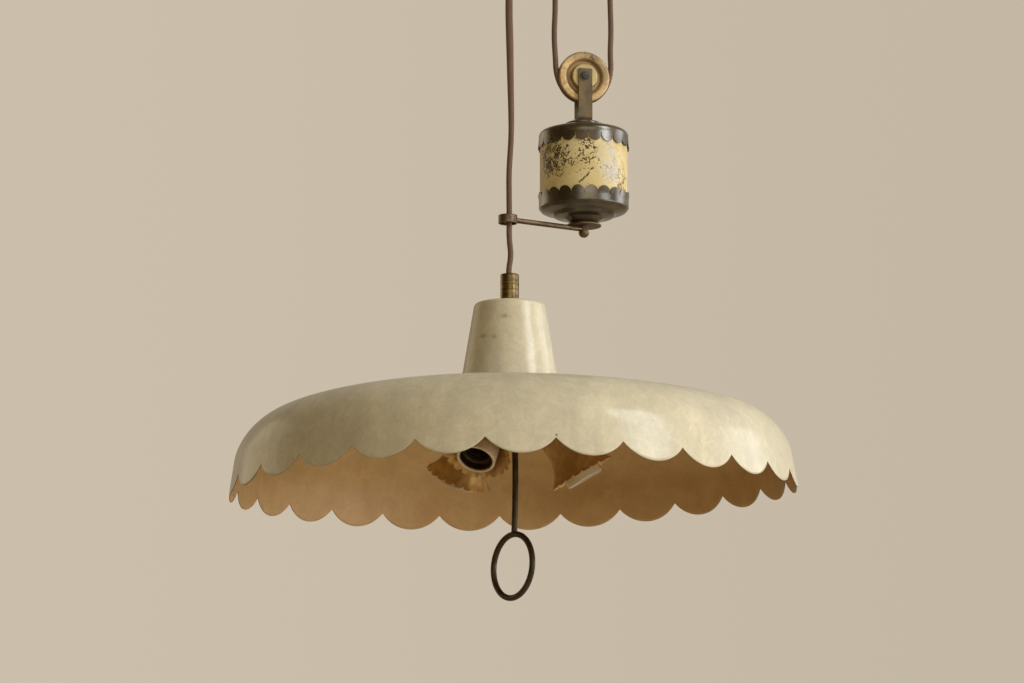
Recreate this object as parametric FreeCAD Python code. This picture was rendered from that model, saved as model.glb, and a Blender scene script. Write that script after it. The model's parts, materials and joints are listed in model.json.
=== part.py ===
import FreeCAD
import Part
import math
import os

# Rise and fall pendant lamp, millimetres, +Z up.
# The origin is the middle of the face that lies against the ceiling.
# +X runs to the right and +Y away from a viewer who faces the lamp.
# One cord carries everything.  It rises from the shade through a guide ring, turns over a
# pulley under the ceiling, loops under the sheave of the counterweight and ends in a grip
# at the ceiling.  The counterweight rises half as far as the shade falls.

# ---- plan ------------------------------------------------------------------
weight_offset_x = 80.0        # from the shade's axis to the counterweight's axis
weight_offset_y = 48.0
sheave_azimuth = 12.0         # plane of the counterweight's sheave, from +X
strand_spread = 30.8          # from the counterweight's axis to each hanging strand

# ---- heights, all measured down from the ceiling ----------------------------
ceiling_pulley_drop = 86.0
sheave_drop = 286.7
coupler_top_drop = 514.7
ring_top_drop = 792.1         # to the middle of the pull ring's wire at its top

# ---- cord --------------------------------------------------------------------
cord_radius = 3.0
cord_clearance = 0.3          # round the cord in a groove or a guide
cord_grip = 0.05              # round the cord in the coupler and the anchor
lead_radius = 2.2

# ---- shade -------------------------------------------------------------------
shade_sheet = 0.8
shade_hole_radius = 44.0
dome_flat_radius = 58.0
dome_break_radius = 140.0
dome_break_fall = 9.7
dome_break_round = 700.0
shoulder_radius = 285.1
shoulder_fall = 33.2
shoulder_round = 63.0
rim_radius = 298.3
rim_fall = 115.0
shade_scallops = 27
shade_scallop_depth = 16.4
shade_scallop_phase = 11.8    # degrees from +X to a notch

# ---- neck and coupler ----------------------------------------------------------
neck_height = 89.3
neck_sheet = 1.2
neck_foot_radius = 52.3
neck_foot_flange = 5.5
neck_top_radius = 37.4
neck_top_round = 4.5
neck_foot_round = 1.6
coupler_radius = 9.9
coupler_height = 32.0
coupler_chamfer = 0.8
coupler_thread_depth = 14.0
coupler_screw_radius = 2.0
coupler_screw_drop = 11.0     # from the coupler's top to its clamping screw
coupler_screw_azimuth = -12.0
nipple_radius = 5.0
nipple_wall = 1.7
nut_across_flats = 14.0
nut_height = 5.0
washer_radius = 12.0
washer_thickness = 1.6
hole_clearance = 0.2          # round a stud or a bolt that passes through a hole

# ---- lamp cluster -----------------------------------------------------------------
cluster_below_neck = 46.3     # neck's top to the point where the three sockets' axes meet
cluster_radius = 22.0
cluster_top_rise = 14.0
cluster_foot_fall = 18.0
cluster_hollow_radius = 9.0   # room for the joints of the wires
nipple_seat = 7.0            # how far the nipple enters the cluster
arm_bore_start = 16.0
arm_start = 17.0
arm_radius = 5.0
arm_wall = 1.2
face_distance = 161.5         # from the cluster's centre to a socket's open face
socket_azimuths = {"a": -112.3, "b": 8.0, "c": 132.5}
socket_tilts = {"a": 34.6, "b": 30.0, "c": 31.5}
cup_sheet = 0.9
cup_radius = 22.0
cup_rim_radius = 35.3
cup_rim_setback = 6.0         # the socket stands this far out of its cup
cup_length = 62.0
cup_flare_length = 30.0
cup_back_round = 8.0
cup_scallops = 20
cup_scallop_depth = 3.6
cup_arm_overlap = 3.0
socket_radius = 20.3
socket_length = 56.0
socket_lip_round = 1.6
socket_mouth_radius = 17.3
socket_mouth_depth = 10.0
socket_floor_depth = 38.0
socket_lead_depth = 8.0
shell_bore_radius = 13.25
shell_wall = 0.55
shell_length = 24.0
shell_flange = 4.0
shell_skirt_play = 0.2        # between the shell's flared skirt and the porcelain
shell_lip_drop = 1.4          # the skirt's edge stays this far inside the open face
contact_radius = 5.0
contact_height = 4.0

# ---- pull rod and ring ---------------------------------------------------------------
rod_radius = 3.2
rod_seat = 4.0                # how far the rod enters the cluster
rod_lean = 4.8                # the rod's foot stands this far to +X of the shade's axis
rod_bow = 3.2                 # the rod's middle stands out from its chord
pull_ring_radius = 33.5       # to the middle of its wire
pull_ring_wire = 3.15
pull_ring_azimuth = -52.9

# ---- counterweight -----------------------------------------------------------------------
sheave_pitch_radius = 26.4    # to the middle of the cord
sheave_wrap = 120.0           # degrees of the sheave that the stiff cord lies on
flange_rise = 1.8             # a wheel's flange above the cord's middle line
rim_width = 13.0
hub_share = 0.56              # a wheel's hub radius as a share of its pitch radius
hub_width = 17.2
web_width = 5.0
web_slope = 2.7               # width of the sloped wall round a wheel's recess
wheel_lip = 7.5               # width of a wheel's rounded rim outside its recess
side_play = 0.4
axle_radius = 2.5
axle_play = 0.06
axle_nut_flats = 8.0
axle_nut_height = 3.4
axle_tail = 1.2
strap_width = 15.0
strap_thickness = 2.0
yoke_head_rise = 8.0          # strap above the axle
yoke_foot_fall = 48.7         # axle to the outside of the yoke's foot
boss_radius = 21.0
boss_top_radius = 12.8
boss_height = 4.8
cap_sheet = 1.0
cap_play = 0.2
sleeve_radius = 47.4
sleeve_wall = 1.2
cap_dome_fall = 8.7
cap_shoulder_round = 6.0
top_cap_notch_fall = 18.2     # boss foot to the notches of the top cap
top_cap_phase = -84.9
bottom_cap_phase = -90.0
cap_flare = 0.9
cap_scallops = 21
cap_scallop_depth = 9.0
cap_scallop_slit = 0.9        # gap between two neighbouring lobes
weight_height = 110.0         # boss foot to the flat middle of the bottom cap
bottom_tip_rise = 33.7        # flat middle of the bottom cap to its upper tips
bolt_radius = 3.0
bolt_head_flats = 10.0
bolt_head_height = 4.0
washer_disc_radius = 18.75
washer_disc_thickness = 2.0
arm_eye_radius = 4.8
arm_eye_height = 5.8
guide_arm_radius = 2.8
guide_overreach = 2.2         # the ring's middle lies this far past the shade's axis
guide_ring_radius = 10.15
guide_ring_wall = 2.0
guide_ring_height = 9.2
ball_radius = 5.8
ball_cut_rise = 0.6
bolt_in_ball = 4.0

# ---- ceiling fitting -------------------------------------------------------------------------
bar_half_length = 70.0
bar_width = 26.0
bar_thickness = 5.0
ceiling_hole_radius = 2.6
ceiling_hole_distance = 60.0
canopy_radius = 75.0
canopy_depth = 38.0
canopy_sheet = 1.2
canopy_round = 16.0
stud_radius = 5.0
stud_nut_flats = 17.0
stud_nut_height = 4.0
collar_radius = 12.0
collar_height = 2.5
hanger_thickness = 3.0
hanger_tail = 7.5             # strap below the ceiling pulley's axle
anchor_radius = 9.0
anchor_length = 36.0
anchor_taper_radius = 6.5
anchor_taper = 12.0
anchor_screw_radius = 2.0
anchor_stud_radius = 6.5
feed_height_drop = 17.0       # the cord's level where it enters the terminal block
feed_bend = 9.0
block_length = 34.0
block_width = 18.0
block_height = 20.0
block_screw_radius = 2.0
block_screw_height = 1.5

# ---- derived places ------------------------------------------------------------------------
sheave_angle = math.radians(sheave_azimuth)
sheave_dir = FreeCAD.Vector(math.cos(sheave_angle), math.sin(sheave_angle), 0)
weight_from_shade = FreeCAD.Vector(weight_offset_x, weight_offset_y, 0)
left_from_shade = weight_from_shade - sheave_dir * strand_spread
right_from_shade = weight_from_shade + sheave_dir * strand_spread
pulley_from_shade = left_from_shade * 0.5
canopy_from_shade = (pulley_from_shade + right_from_shade) * 0.5
shade_axis = canopy_from_shade * -1.0
weight_axis = shade_axis + weight_from_shade
left_strand_axis = shade_axis + left_from_shade
right_strand_axis = shade_axis + right_from_shade
pulley_axis = shade_axis + pulley_from_shade
pulley_dir = FreeCAD.Vector(left_from_shade).normalize()
pulley_pitch_radius = left_from_shade.Length * 0.5
bar_dir = FreeCAD.Vector(right_strand_axis).normalize()
arm_dir = FreeCAD.Vector(weight_from_shade * -1.0).normalize()

pulley_z = -ceiling_pulley_drop
sheave_z = -sheave_drop
coupler_top_z = -coupler_top_drop
neck_top_z = coupler_top_z - coupler_height
dome_z = neck_top_z - neck_height
cluster_z = neck_top_z - cluster_below_neck
yoke_foot_z = sheave_z - yoke_foot_fall
boss_foot_z = yoke_foot_z - boss_height
weight_foot_z = boss_foot_z - weight_height
disc_foot_z = weight_foot_z - washer_disc_thickness
eye_foot_z = disc_foot_z - arm_eye_height
guide_z = eye_foot_z + arm_eye_height / 2
ring_top_z = -ring_top_drop
yoke_gap = hub_width + 2 * side_play
groove_radius = cord_radius + cord_clearance
anchor_top_z = -canopy_depth
anchor_foot_z = anchor_top_z - anchor_length


# ---- general shapes ------------------------------------------------------------------------
def corner_arc(before, corner, after, radius):
    """Tangent points and middle point of an arc that rounds one corner."""
    back = (before - corner).normalize()
    ahead = (after - corner).normalize()
    half_angle = back.getAngle(ahead) / 2
    reach = radius / math.tan(half_angle)
    start = corner + back * reach
    end = corner + ahead * reach
    middle = (back + ahead).normalize()
    centre = corner + middle * (radius / math.sin(half_angle))
    top = centre - middle * radius
    return start, top, end


def rounded_edges(corners, closed):
    """Edges of an outline in the XZ plane; each corner is (r, z, rounding radius)."""
    points = [FreeCAD.Vector(r, 0, z) for r, z, _ in corners]
    count = len(points)
    edges = []
    starts = []
    ends = []
    arcs = []
    for index in range(count):
        radius = corners[index][2]
        inner = closed or 0 < index < count - 1
        if radius > 0 and inner:
            before = points[index - 1]
            after = points[(index + 1) % count]
            start, top, end = corner_arc(before, points[index], after, radius)
            arcs.append(Part.Arc(start, top, end).toShape())
            starts.append(start)
            ends.append(end)
        else:
            arcs.append(None)
            starts.append(points[index])
            ends.append(points[index])
    for index in range(count):
        if arcs[index]:
            edges.append(arcs[index])
        if index == count - 1 and not closed:
            break
        begin = ends[index]
        finish = starts[(index + 1) % count]
        if begin.distanceToPoint(finish) > 1e-6:
            edges.append(Part.LineSegment(begin, finish).toShape())
    return edges


def offset_corners(corners, distance):
    """The same open outline moved to its left by a distance, with its roundings kept parallel."""
    points = [FreeCAD.Vector(r, z, 0) for r, z, _ in corners]
    normals = []
    for first, second in zip(points, points[1:]):
        run = (second - first).normalize()
        normals.append(FreeCAD.Vector(-run.y, run.x, 0))
    moved = []
    for index, point in enumerate(points):
        before = normals[max(index - 1, 0)]
        after = normals[min(index, len(normals) - 1)]
        shift = (before + after) * (distance / (1 + before.dot(after)))
        turn = before.cross(after).z
        radius = corners[index][2]
        if radius > 0 and turn > 0:
            radius = max(radius - distance, 0)
        elif radius > 0:
            radius = radius + distance
        place = point + shift
        moved.append((place.x, place.y, radius))
    return moved


def spin(edges):
    """Turn a closed outline in the XZ plane once round the Z axis."""
    face = Part.Face(Part.Wire(Part.sortEdges(edges)[0]))
    solid = face.revolve(FreeCAD.Vector(0, 0, 0), FreeCAD.Vector(0, 0, 1), 360)
    return Part.Solid(solid) if solid.ShapeType == "Shell" else solid


def turned(corners):
    """A turned solid from a closed outline of (r, z, rounding)."""
    return spin(rounded_edges(corners, True))


def spun_sheet(corners, thickness):
    """A spun sheet: the outline is one face, the other lies to its left."""
    inner = offset_corners(corners, thickness)
    first = rounded_edges(corners, False)
    second = rounded_edges(inner, False)
    start_a = FreeCAD.Vector(corners[0][0], 0, corners[0][1])
    start_b = FreeCAD.Vector(inner[0][0], 0, inner[0][1])
    end_a = FreeCAD.Vector(corners[-1][0], 0, corners[-1][1])
    end_b = FreeCAD.Vector(inner[-1][0], 0, inner[-1][1])
    caps = [Part.LineSegment(start_a, start_b).toShape(), Part.LineSegment(end_a, end_b).toShape()]
    return spin(first + second + caps)


def cylinder(radius, low, high):
    return Part.makeCylinder(radius, high - low, FreeCAD.Vector(0, 0, low))


def tube(outer, inner, low, high):
    return cylinder(outer, low, high).cut(cylinder(inner, low - 1, high + 1))


def hexagon(across_flats, low, high):
    corner = across_flats / math.sqrt(3)
    points = []
    for index in range(7):
        angle = math.radians(60 * index)
        points.append(FreeCAD.Vector(corner * math.cos(angle), corner * math.sin(angle), low))
    return Part.Face(Part.makePolygon(points)).extrude(FreeCAD.Vector(0, 0, high - low))


def moved_to(shape, place):
    result = shape.copy()
    result.translate(place)
    return result


def aimed(shape, direction, origin):
    """Turn a shape modelled along +Z so that +Z points along a direction from an origin."""
    result = shape.copy()
    turn = FreeCAD.Rotation(FreeCAD.Vector(0, 0, 1), direction)
    result.Placement = FreeCAD.Placement(origin, turn)
    return result


def scallop_waste(count, radius, band, tip, notch, phase, slit=0.0):
    """What to cut from a rim so that round lobes reach from the notches to the tips.

    Lobes that are set apart by a slit have straight sides from their notches up to a half round.
    """
    depth = abs(tip - notch)
    outward = 1 if tip > notch else -1
    half_chord = radius * math.sin(math.pi / count)
    lobe_radius = (half_chord ** 2 + depth ** 2) / (2 * depth)
    if slit:
        lobe_radius = half_chord - slit / 2
    lobe_z = tip - outward * lobe_radius
    past_notch = notch - (0 if slit else outward * 0.3)
    low = min(past_notch, tip + outward)
    high = max(past_notch, tip + outward)
    waste = tube(radius + band, radius - band, low, high)
    lobes = []
    for index in range(count):
        angle = math.radians(phase + 360 * (index + 0.5) / count)
        direction = FreeCAD.Vector(math.cos(angle), math.sin(angle), 0)
        base = direction * (radius - 2 * band) + FreeCAD.Vector(0, 0, lobe_z)
        lobes.append(Part.makeCylinder(lobe_radius, 4 * band, base, direction))
        if slit:
            sides = Part.makeBox(4 * band, 2 * lobe_radius, abs(lobe_z - notch) + 1,
                                 FreeCAD.Vector(radius - 2 * band, -lobe_radius, min(lobe_z, notch - outward)))
            sides.rotate(FreeCAD.Vector(0, 0, 0), FreeCAD.Vector(0, 0, 1), math.degrees(angle))
            lobes.append(sides)
    return waste.cut(lobes)


def grooved_wheel(pitch_radius):
    """A turned wheel along Z: cord groove, rounded rims, recessed sides and a raised hub."""
    outer = pitch_radius + flange_rise
    half_rim = rim_width / 2
    half_hub = hub_width / 2
    half_web = web_width / 2
    bore = axle_radius + axle_play
    hub_radius = pitch_radius * hub_share
    recess_radius = outer - wheel_lip
    side = [
        (bore, half_hub, 0), (hub_radius - 1, half_hub, 1.6), (hub_radius, half_web, 0.8),
        (recess_radius - web_slope, half_web, 1.2), (recess_radius, half_rim, 3.5), (outer, half_rim, 2.4),
    ]
    mirrored = [(r, -z, rounding) for r, z, rounding in reversed(side)]
    wheel = turned(side + mirrored)
    groove = Part.makeTorus(pitch_radius, groove_radius)
    mouth = tube(outer + 1, pitch_radius, -groove_radius, groove_radius)
    return wheel.cut([groove, mouth])


def cord_tube(edges, radius):
    """A round tube along a route of straight runs and tangent arcs."""
    path = Part.Wire(edges)
    start = path.Vertexes[0].Point if path.isClosed() else edges[0].valueAt(edges[0].FirstParameter)
    direction = edges[0].tangentAt(edges[0].FirstParameter)
    section = Part.Wire([Part.makeCircle(radius, start, direction)])
    solid = path.makePipeShell([section], True, False)
    expected = math.pi * radius ** 2 * path.Length
    print("cord stretch", round(path.Length, 2), "mm, volume ratio", round(solid.Volume / expected, 5))
    return solid


def straight(first, second):
    return Part.LineSegment(first, second).toShape()


def arc_in_plane(centre, direction, radius, start, end):
    """An arc in the upright plane of a direction; its angles go up from that direction."""
    points = []
    for degrees in (start, (start + end) / 2, end):
        angle = math.radians(degrees)
        offset = direction * (radius * math.cos(angle)) + FreeCAD.Vector(0, 0, radius * math.sin(angle))
        points.append(centre + offset)
    return Part.Arc(points[0], points[1], points[2]).toShape()


def at_height(axis, z):
    return FreeCAD.Vector(axis.x, axis.y, z)


# ---- ceiling fitting -------------------------------------------------------------------------
def bar_frame(shape):
    """Turn a shape from along +X to along the mounting bar."""
    result = shape.copy()
    angle = math.degrees(math.atan2(bar_dir.y, bar_dir.x))
    result.rotate(FreeCAD.Vector(0, 0, 0), FreeCAD.Vector(0, 0, 1), angle)
    return result


def ceiling_bar():
    bar = Part.makeBox(2 * bar_half_length, bar_width, bar_thickness,
                       FreeCAD.Vector(-bar_half_length, -bar_width / 2, -bar_thickness))
    ends = cylinder(bar_half_length, -bar_thickness, 0)
    bar = bar_frame(bar.common(ends))
    for side in (-1, 1):
        hole = cylinder(ceiling_hole_radius, -bar_thickness - 1, 1)
        bar = bar.cut(moved_to(hole, bar_dir * (side * ceiling_hole_distance)))
    hanger_hole = cylinder(stud_radius, -bar_thickness - 1, 1)
    anchor_hole = cylinder(anchor_stud_radius, -bar_thickness - 1, 1)
    bar = bar.cut(moved_to(hanger_hole, pulley_axis))
    return bar.cut(moved_to(anchor_hole, right_strand_axis))


def stud_nuts():
    nuts = []
    for place, radius in ((pulley_axis, stud_radius), (right_strand_axis, anchor_stud_radius)):
        nut = hexagon(stud_nut_flats, -bar_thickness - stud_nut_height, -bar_thickness)
        nuts.append(moved_to(nut.cut(cylinder(radius, -bar_thickness * 3, 0)), place))
    return Part.makeCompound(nuts)


def ceiling_canopy():
    corners = [
        (canopy_radius, 0, 0), (canopy_radius - 3, -canopy_depth, canopy_round), (0, -canopy_depth, 0),
    ]
    inner = offset_corners(corners, -canopy_sheet)
    inner[-1] = (0, inner[-1][1], 0)
    outside = rounded_edges(corners, False)
    inside = rounded_edges(inner, False)
    first = FreeCAD.Vector(corners[0][0], 0, corners[0][1])
    first_inner = FreeCAD.Vector(inner[0][0], 0, inner[0][1])
    last = FreeCAD.Vector(0, 0, corners[-1][1])
    last_inner = FreeCAD.Vector(0, 0, inner[-1][1])
    canopy = spin(outside + inside + [straight(first, first_inner), straight(last, last_inner)])
    canopy = canopy.common(cylinder(canopy_radius * 2, -canopy_depth * 2, 0))
    for place, radius in ((pulley_axis, stud_radius), (right_strand_axis, anchor_stud_radius)):
        hole = cylinder(radius + hole_clearance, -canopy_depth - 1, 0)
        canopy = canopy.cut(moved_to(hole, place))
    return canopy


def strap_yoke(direction, axle_z, foot_z, head, thickness):
    """A flat strap bent round a wheel: its foot lies at foot_z and its ends pass the axle."""
    across = FreeCAD.Vector(-direction.y, direction.x, 0)
    upward = 1 if axle_z > foot_z else -1
    inner_half = yoke_gap / 2
    outer_half = inner_half + thickness
    bend = thickness + 1.5
    end_z = axle_z + upward * head
    outline = [
        (-outer_half, end_z, 0), (-outer_half, foot_z, bend), (outer_half, foot_z, bend),
        (outer_half, end_z, 0), (inner_half, end_z, 0),
        (inner_half, foot_z + upward * thickness, bend - thickness),
        (-inner_half, foot_z + upward * thickness, bend - thickness), (-inner_half, end_z, 0),
    ]
    face = Part.Face(Part.Wire(Part.sortEdges(rounded_edges(outline, True))[0]))
    strap = face.extrude(FreeCAD.Vector(0, strap_width, 0))
    strap.translate(FreeCAD.Vector(0, -strap_width / 2, 0))
    angle = math.degrees(math.atan2(across.y, across.x))
    strap.rotate(FreeCAD.Vector(0, 0, 0), FreeCAD.Vector(0, 0, 1), angle)
    hole = Part.makeCylinder(axle_radius, 4 * outer_half, across * (-2 * outer_half), across)
    return strap.cut(moved_to(hole, FreeCAD.Vector(0, 0, axle_z)))


def ceiling_hanger():
    """Stud, collar and upturned yoke that carry the ceiling pulley."""
    foot_z = -canopy_depth - collar_height
    strap = strap_yoke(pulley_dir, pulley_z, foot_z, hanger_tail, hanger_thickness)
    collar = cylinder(collar_radius, foot_z, -canopy_depth)
    stud = cylinder(stud_radius, foot_z, 0)
    return moved_to(strap.fuse([collar, stud]).removeSplitter(), pulley_axis)


def axle_with_head(direction, place, thickness):
    """A headed axle through both sides of a yoke, its head on the far side."""
    across = FreeCAD.Vector(-direction.y, direction.x, 0)
    half = yoke_gap / 2 + thickness
    pin = cylinder(axle_radius, -half - axle_nut_height - axle_tail, half)
    head = cylinder(axle_radius * 1.9, half, half + axle_nut_height)
    return aimed(pin.fuse(head).removeSplitter(), across, place)


def axle_nut(direction, place, thickness):
    across = FreeCAD.Vector(-direction.y, direction.x, 0)
    half = yoke_gap / 2 + thickness
    nut = hexagon(axle_nut_flats, -half - axle_nut_height, -half)
    nut = nut.cut(cylinder(axle_radius, -2 * half, 0))
    return aimed(nut, across, place)


def wheel_on_axle(pitch_radius, direction, place):
    across = FreeCAD.Vector(-direction.y, direction.x, 0)
    return aimed(grooved_wheel(pitch_radius), across, place)


def feed_route():
    """From the anchor's foot up, over a bend and into the terminal block."""
    side = bar_dir * -1.0
    foot = at_height(right_strand_axis, anchor_foot_z)
    bend_foot = at_height(right_strand_axis, -feed_height_drop - feed_bend)
    bend_centre = bend_foot + side * feed_bend
    bend_end = bend_centre + FreeCAD.Vector(0, 0, feed_bend)
    block_face = at_height(bar_dir * (block_length / 2), -feed_height_drop)
    bend = arc_in_plane(bend_centre, bar_dir, feed_bend, 0, 90)
    return [straight(foot, bend_foot), bend, straight(bend_end, block_face)]


def cord_anchor():
    """Grip that ends the cord at the ceiling, with its stud, collar and side way out."""
    body = turned([
        (0, anchor_foot_z, 0), (anchor_taper_radius, anchor_foot_z, 0.8),
        (anchor_radius, anchor_foot_z + anchor_taper, 3.0),
        (anchor_radius, anchor_top_z - collar_height, 0), (collar_radius, anchor_top_z - collar_height, 0.6),
        (collar_radius, anchor_top_z, 0.6), (anchor_stud_radius, anchor_top_z, 0),
        (anchor_stud_radius, 0, 0), (0, 0, 0),
    ])
    body = moved_to(body, right_strand_axis)
    bore = cylinder(cord_radius + cord_grip, anchor_foot_z - 1, -feed_height_drop - feed_bend)
    body = body.cut(moved_to(bore, right_strand_axis))
    body = body.cut(cord_tube(feed_route()[1:], groove_radius))
    return body.cut(screw_hole(right_strand_axis, anchor_screw_z(), -90, anchor_screw_radius, anchor_radius))


def anchor_screw_z():
    return anchor_foot_z + anchor_taper + 8


def screw_hole(axis, z, azimuth, radius, depth):
    angle = math.radians(azimuth)
    direction = FreeCAD.Vector(math.cos(angle), math.sin(angle), 0)
    start = at_height(axis, z) + direction * cord_radius
    return Part.makeCylinder(radius, depth + 1, start, direction)


def grub_screw(axis, z, azimuth, radius, surface_radius):
    """A slotted clamping screw that presses on the cord, just below the surface round it."""
    angle = math.radians(azimuth)
    direction = FreeCAD.Vector(math.cos(angle), math.sin(angle), 0)
    length = surface_radius - cord_radius - cord_grip - 0.8
    screw = cylinder(radius, 0, length)
    slot = Part.makeBox(4 * radius, 0.7, 1.0, FreeCAD.Vector(-2 * radius, -0.35, length - 0.9))
    start = at_height(axis, z) + direction * (cord_radius + cord_grip)
    return aimed(screw.cut(slot), direction, start)


def terminal_block():
    block = Part.makeBox(block_length, block_width, block_height,
                         FreeCAD.Vector(-block_length / 2, -block_width / 2, -bar_thickness - block_height))
    uprights = [edge for edge in block.Edges if abs(edge.tangentAt(edge.FirstParameter).z) > 0.9]
    return bar_frame(block.makeFillet(2.0, uprights))


def block_screws():
    screws = []
    top = -bar_thickness - block_height
    for side in (-1, 1):
        for row in (-1, 1):
            screw = cylinder(block_screw_radius, top - block_screw_height, top)
            place = FreeCAD.Vector(side * block_length / 4, row * block_width / 4, 0)
            screws.append(moved_to(screw, place))
    return bar_frame(Part.makeCompound(screws))


# ---- shade --------------------------------------------------------------------------------------
def shade_dish():
    corners = [
        (rim_radius, dome_z - rim_fall, 0), (shoulder_radius, dome_z - shoulder_fall, shoulder_round),
        (dome_break_radius, dome_z - dome_break_fall, dome_break_round), (dome_flat_radius, dome_z, 8.0),
        (shade_hole_radius, dome_z, 0),
    ]
    dish = spun_sheet(corners, shade_sheet)
    tip = dome_z - rim_fall
    waste = scallop_waste(shade_scallops, rim_radius, 15.0, tip, tip + shade_scallop_depth, shade_scallop_phase)
    return moved_to(dish.cut(waste), shade_axis)


def shade_neck():
    corners = [
        (neck_foot_radius - neck_foot_flange, dome_z, 0), (neck_foot_radius, dome_z, neck_foot_round),
        (neck_top_radius, neck_top_z, neck_top_round), (nipple_radius + hole_clearance, neck_top_z, 0),
    ]
    return moved_to(spun_sheet(corners, neck_sheet), shade_axis)


def coupler():
    low = neck_top_z
    high = coupler_top_z
    body = turned([
        (0, low, 0), (coupler_radius - coupler_chamfer, low, 0), (coupler_radius, low + coupler_chamfer, 0),
        (coupler_radius, high - coupler_chamfer, 0), (coupler_radius - coupler_chamfer, high, 0), (0, high, 0),
    ])
    body = body.cut(cylinder(cord_radius + cord_grip, low, high + 1))
    body = moved_to(body.cut(cylinder(nipple_radius, low - 1, low + coupler_thread_depth)), shade_axis)
    screw_z = high - coupler_screw_drop
    return body.cut(screw_hole(shade_axis, screw_z, coupler_screw_azimuth, coupler_screw_radius, coupler_radius))


def nipple():
    low = cluster_z + cluster_top_rise - nipple_seat
    high = neck_top_z + coupler_thread_depth
    return moved_to(tube(nipple_radius, nipple_radius - nipple_wall, low, high), shade_axis)


def neck_washer():
    high = neck_top_z - neck_sheet
    washer = tube(washer_radius, nipple_radius + hole_clearance, high - washer_thickness, high)
    return moved_to(washer, shade_axis)


def neck_nuts():
    """One nut clamps the neck, the other locks the cluster on the nipple."""
    under_neck = neck_top_z - neck_sheet - washer_thickness
    over_cluster = cluster_z + cluster_top_rise + nut_height
    nuts = []
    for high in (under_neck, over_cluster):
        nut = hexagon(nut_across_flats, high - nut_height, high)
        nuts.append(moved_to(nut.cut(cylinder(nipple_radius, high - 2 * nut_height, high + 1)), shade_axis))
    return Part.makeCompound(nuts)


def socket_direction(name):
    tilt = math.radians(socket_tilts[name])
    azimuth = math.radians(socket_azimuths[name])
    return FreeCAD.Vector(math.sin(tilt) * math.cos(azimuth), math.sin(tilt) * math.sin(azimuth), -math.cos(tilt))


def on_socket_axis(shape, name):
    """Place a shape modelled along +Z, from the cluster's centre out, on a socket's axis."""
    return aimed(shape, socket_direction(name), at_height(shade_axis, cluster_z))


def cluster_body():
    ball = Part.makeSphere(cluster_radius)
    ball = ball.common(cylinder(cluster_radius + 1, -cluster_foot_fall, cluster_top_rise))
    ball = ball.cut(cylinder(nipple_radius, cluster_top_rise - nipple_seat, cluster_radius))
    ball = ball.cut(Part.makeSphere(cluster_hollow_radius))
    body = moved_to(ball, at_height(shade_axis, cluster_z))
    body = body.cut(cord_tube([rod_arc()], rod_radius))
    for name in socket_azimuths:
        body = body.cut(on_socket_axis(cylinder(arm_radius, arm_bore_start, cluster_radius + 2), name))
        body = body.cut(on_socket_axis(cylinder(arm_radius - arm_wall, 0, cluster_radius), name))
    return body


def cup_back():
    return face_distance - cup_rim_setback - cup_length


def socket_arm(name):
    high = cup_back() + cup_arm_overlap
    return on_socket_axis(tube(arm_radius, arm_radius - arm_wall, arm_start, high), name)


def socket_cup(name):
    rim = face_distance - cup_rim_setback
    rise = cup_rim_radius - cup_radius
    half_turn = math.atan2(rise, cup_flare_length)
    reach = math.hypot(rise, cup_flare_length) / (2 * math.cos(half_turn))
    corner = rim - cup_flare_length + reach
    flare_round = 0.995 * reach / math.tan(half_turn)
    corners = [
        (arm_radius + hole_clearance, cup_back(), 0), (cup_radius, cup_back(), cup_back_round),
        (cup_radius, corner, flare_round), (cup_rim_radius, rim, 0),
    ]
    cup = spun_sheet(corners, cup_sheet)
    waste = scallop_waste(cup_scallops, cup_rim_radius, 6.0, rim, rim - cup_scallop_depth, 0)
    return on_socket_axis(cup.cut(waste), name)


def socket_body(name):
    back = face_distance - socket_length
    floor = face_distance - socket_floor_depth
    step = face_distance - socket_mouth_depth
    seat_radius = shell_bore_radius + shell_wall + hole_clearance
    body = turned([
        (lead_radius + cord_clearance, back, 0), (socket_radius, back, 2.0),
        (socket_radius, face_distance, socket_lip_round), (socket_mouth_radius, face_distance, 1.2),
        (socket_mouth_radius, step, 0), (seat_radius, step, 0), (seat_radius, floor, 0),
        (0, floor, 0), (0, back + socket_lead_depth, 0),
        (lead_radius + cord_clearance, back + socket_lead_depth, 0),
    ])
    return on_socket_axis(body, name)


def shell_floor():
    return face_distance - socket_mouth_depth - shell_length


def screw_shell(name):
    outer = shell_bore_radius + shell_wall
    skirt = socket_mouth_radius - shell_skirt_play
    step = face_distance - socket_mouth_depth + shell_skirt_play
    corners = [
        (outer - shell_flange, shell_floor(), 0), (outer, shell_floor(), 1.0), (outer, step, 0.3),
        (skirt, step, 1.0), (skirt, face_distance - shell_lip_drop, 0),
    ]
    return on_socket_axis(spun_sheet(corners, shell_wall), name)


def centre_contact(name):
    floor = face_distance - socket_floor_depth
    button = turned([
        (0, floor, 0), (contact_radius, floor, 0), (contact_radius, floor + 1.2, 0.5),
        (contact_radius * 0.6, floor + contact_height, 1.0), (0, floor + contact_height, 0),
    ])
    return on_socket_axis(button, name)


def socket_leads():
    leads = []
    end = face_distance - socket_length + socket_lead_depth
    for name in socket_azimuths:
        leads.append(on_socket_axis(cylinder(lead_radius, arm_start, end), name))
    return Part.makeCompound(leads)


def rod_arc():
    """The slightly bowed middle line of the pull rod, from the cluster down to the ring's wire."""
    start = at_height(shade_axis, cluster_z - cluster_foot_fall + rod_seat)
    end = at_height(shade_axis, ring_top_z) + FreeCAD.Vector(rod_lean, 0, 0)
    run = (end - start).normalize()
    aside = FreeCAD.Vector(-run.z, 0, run.x)
    middle = (start + end) * 0.5 + aside * rod_bow
    return Part.Arc(start, middle, end).toShape()


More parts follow.
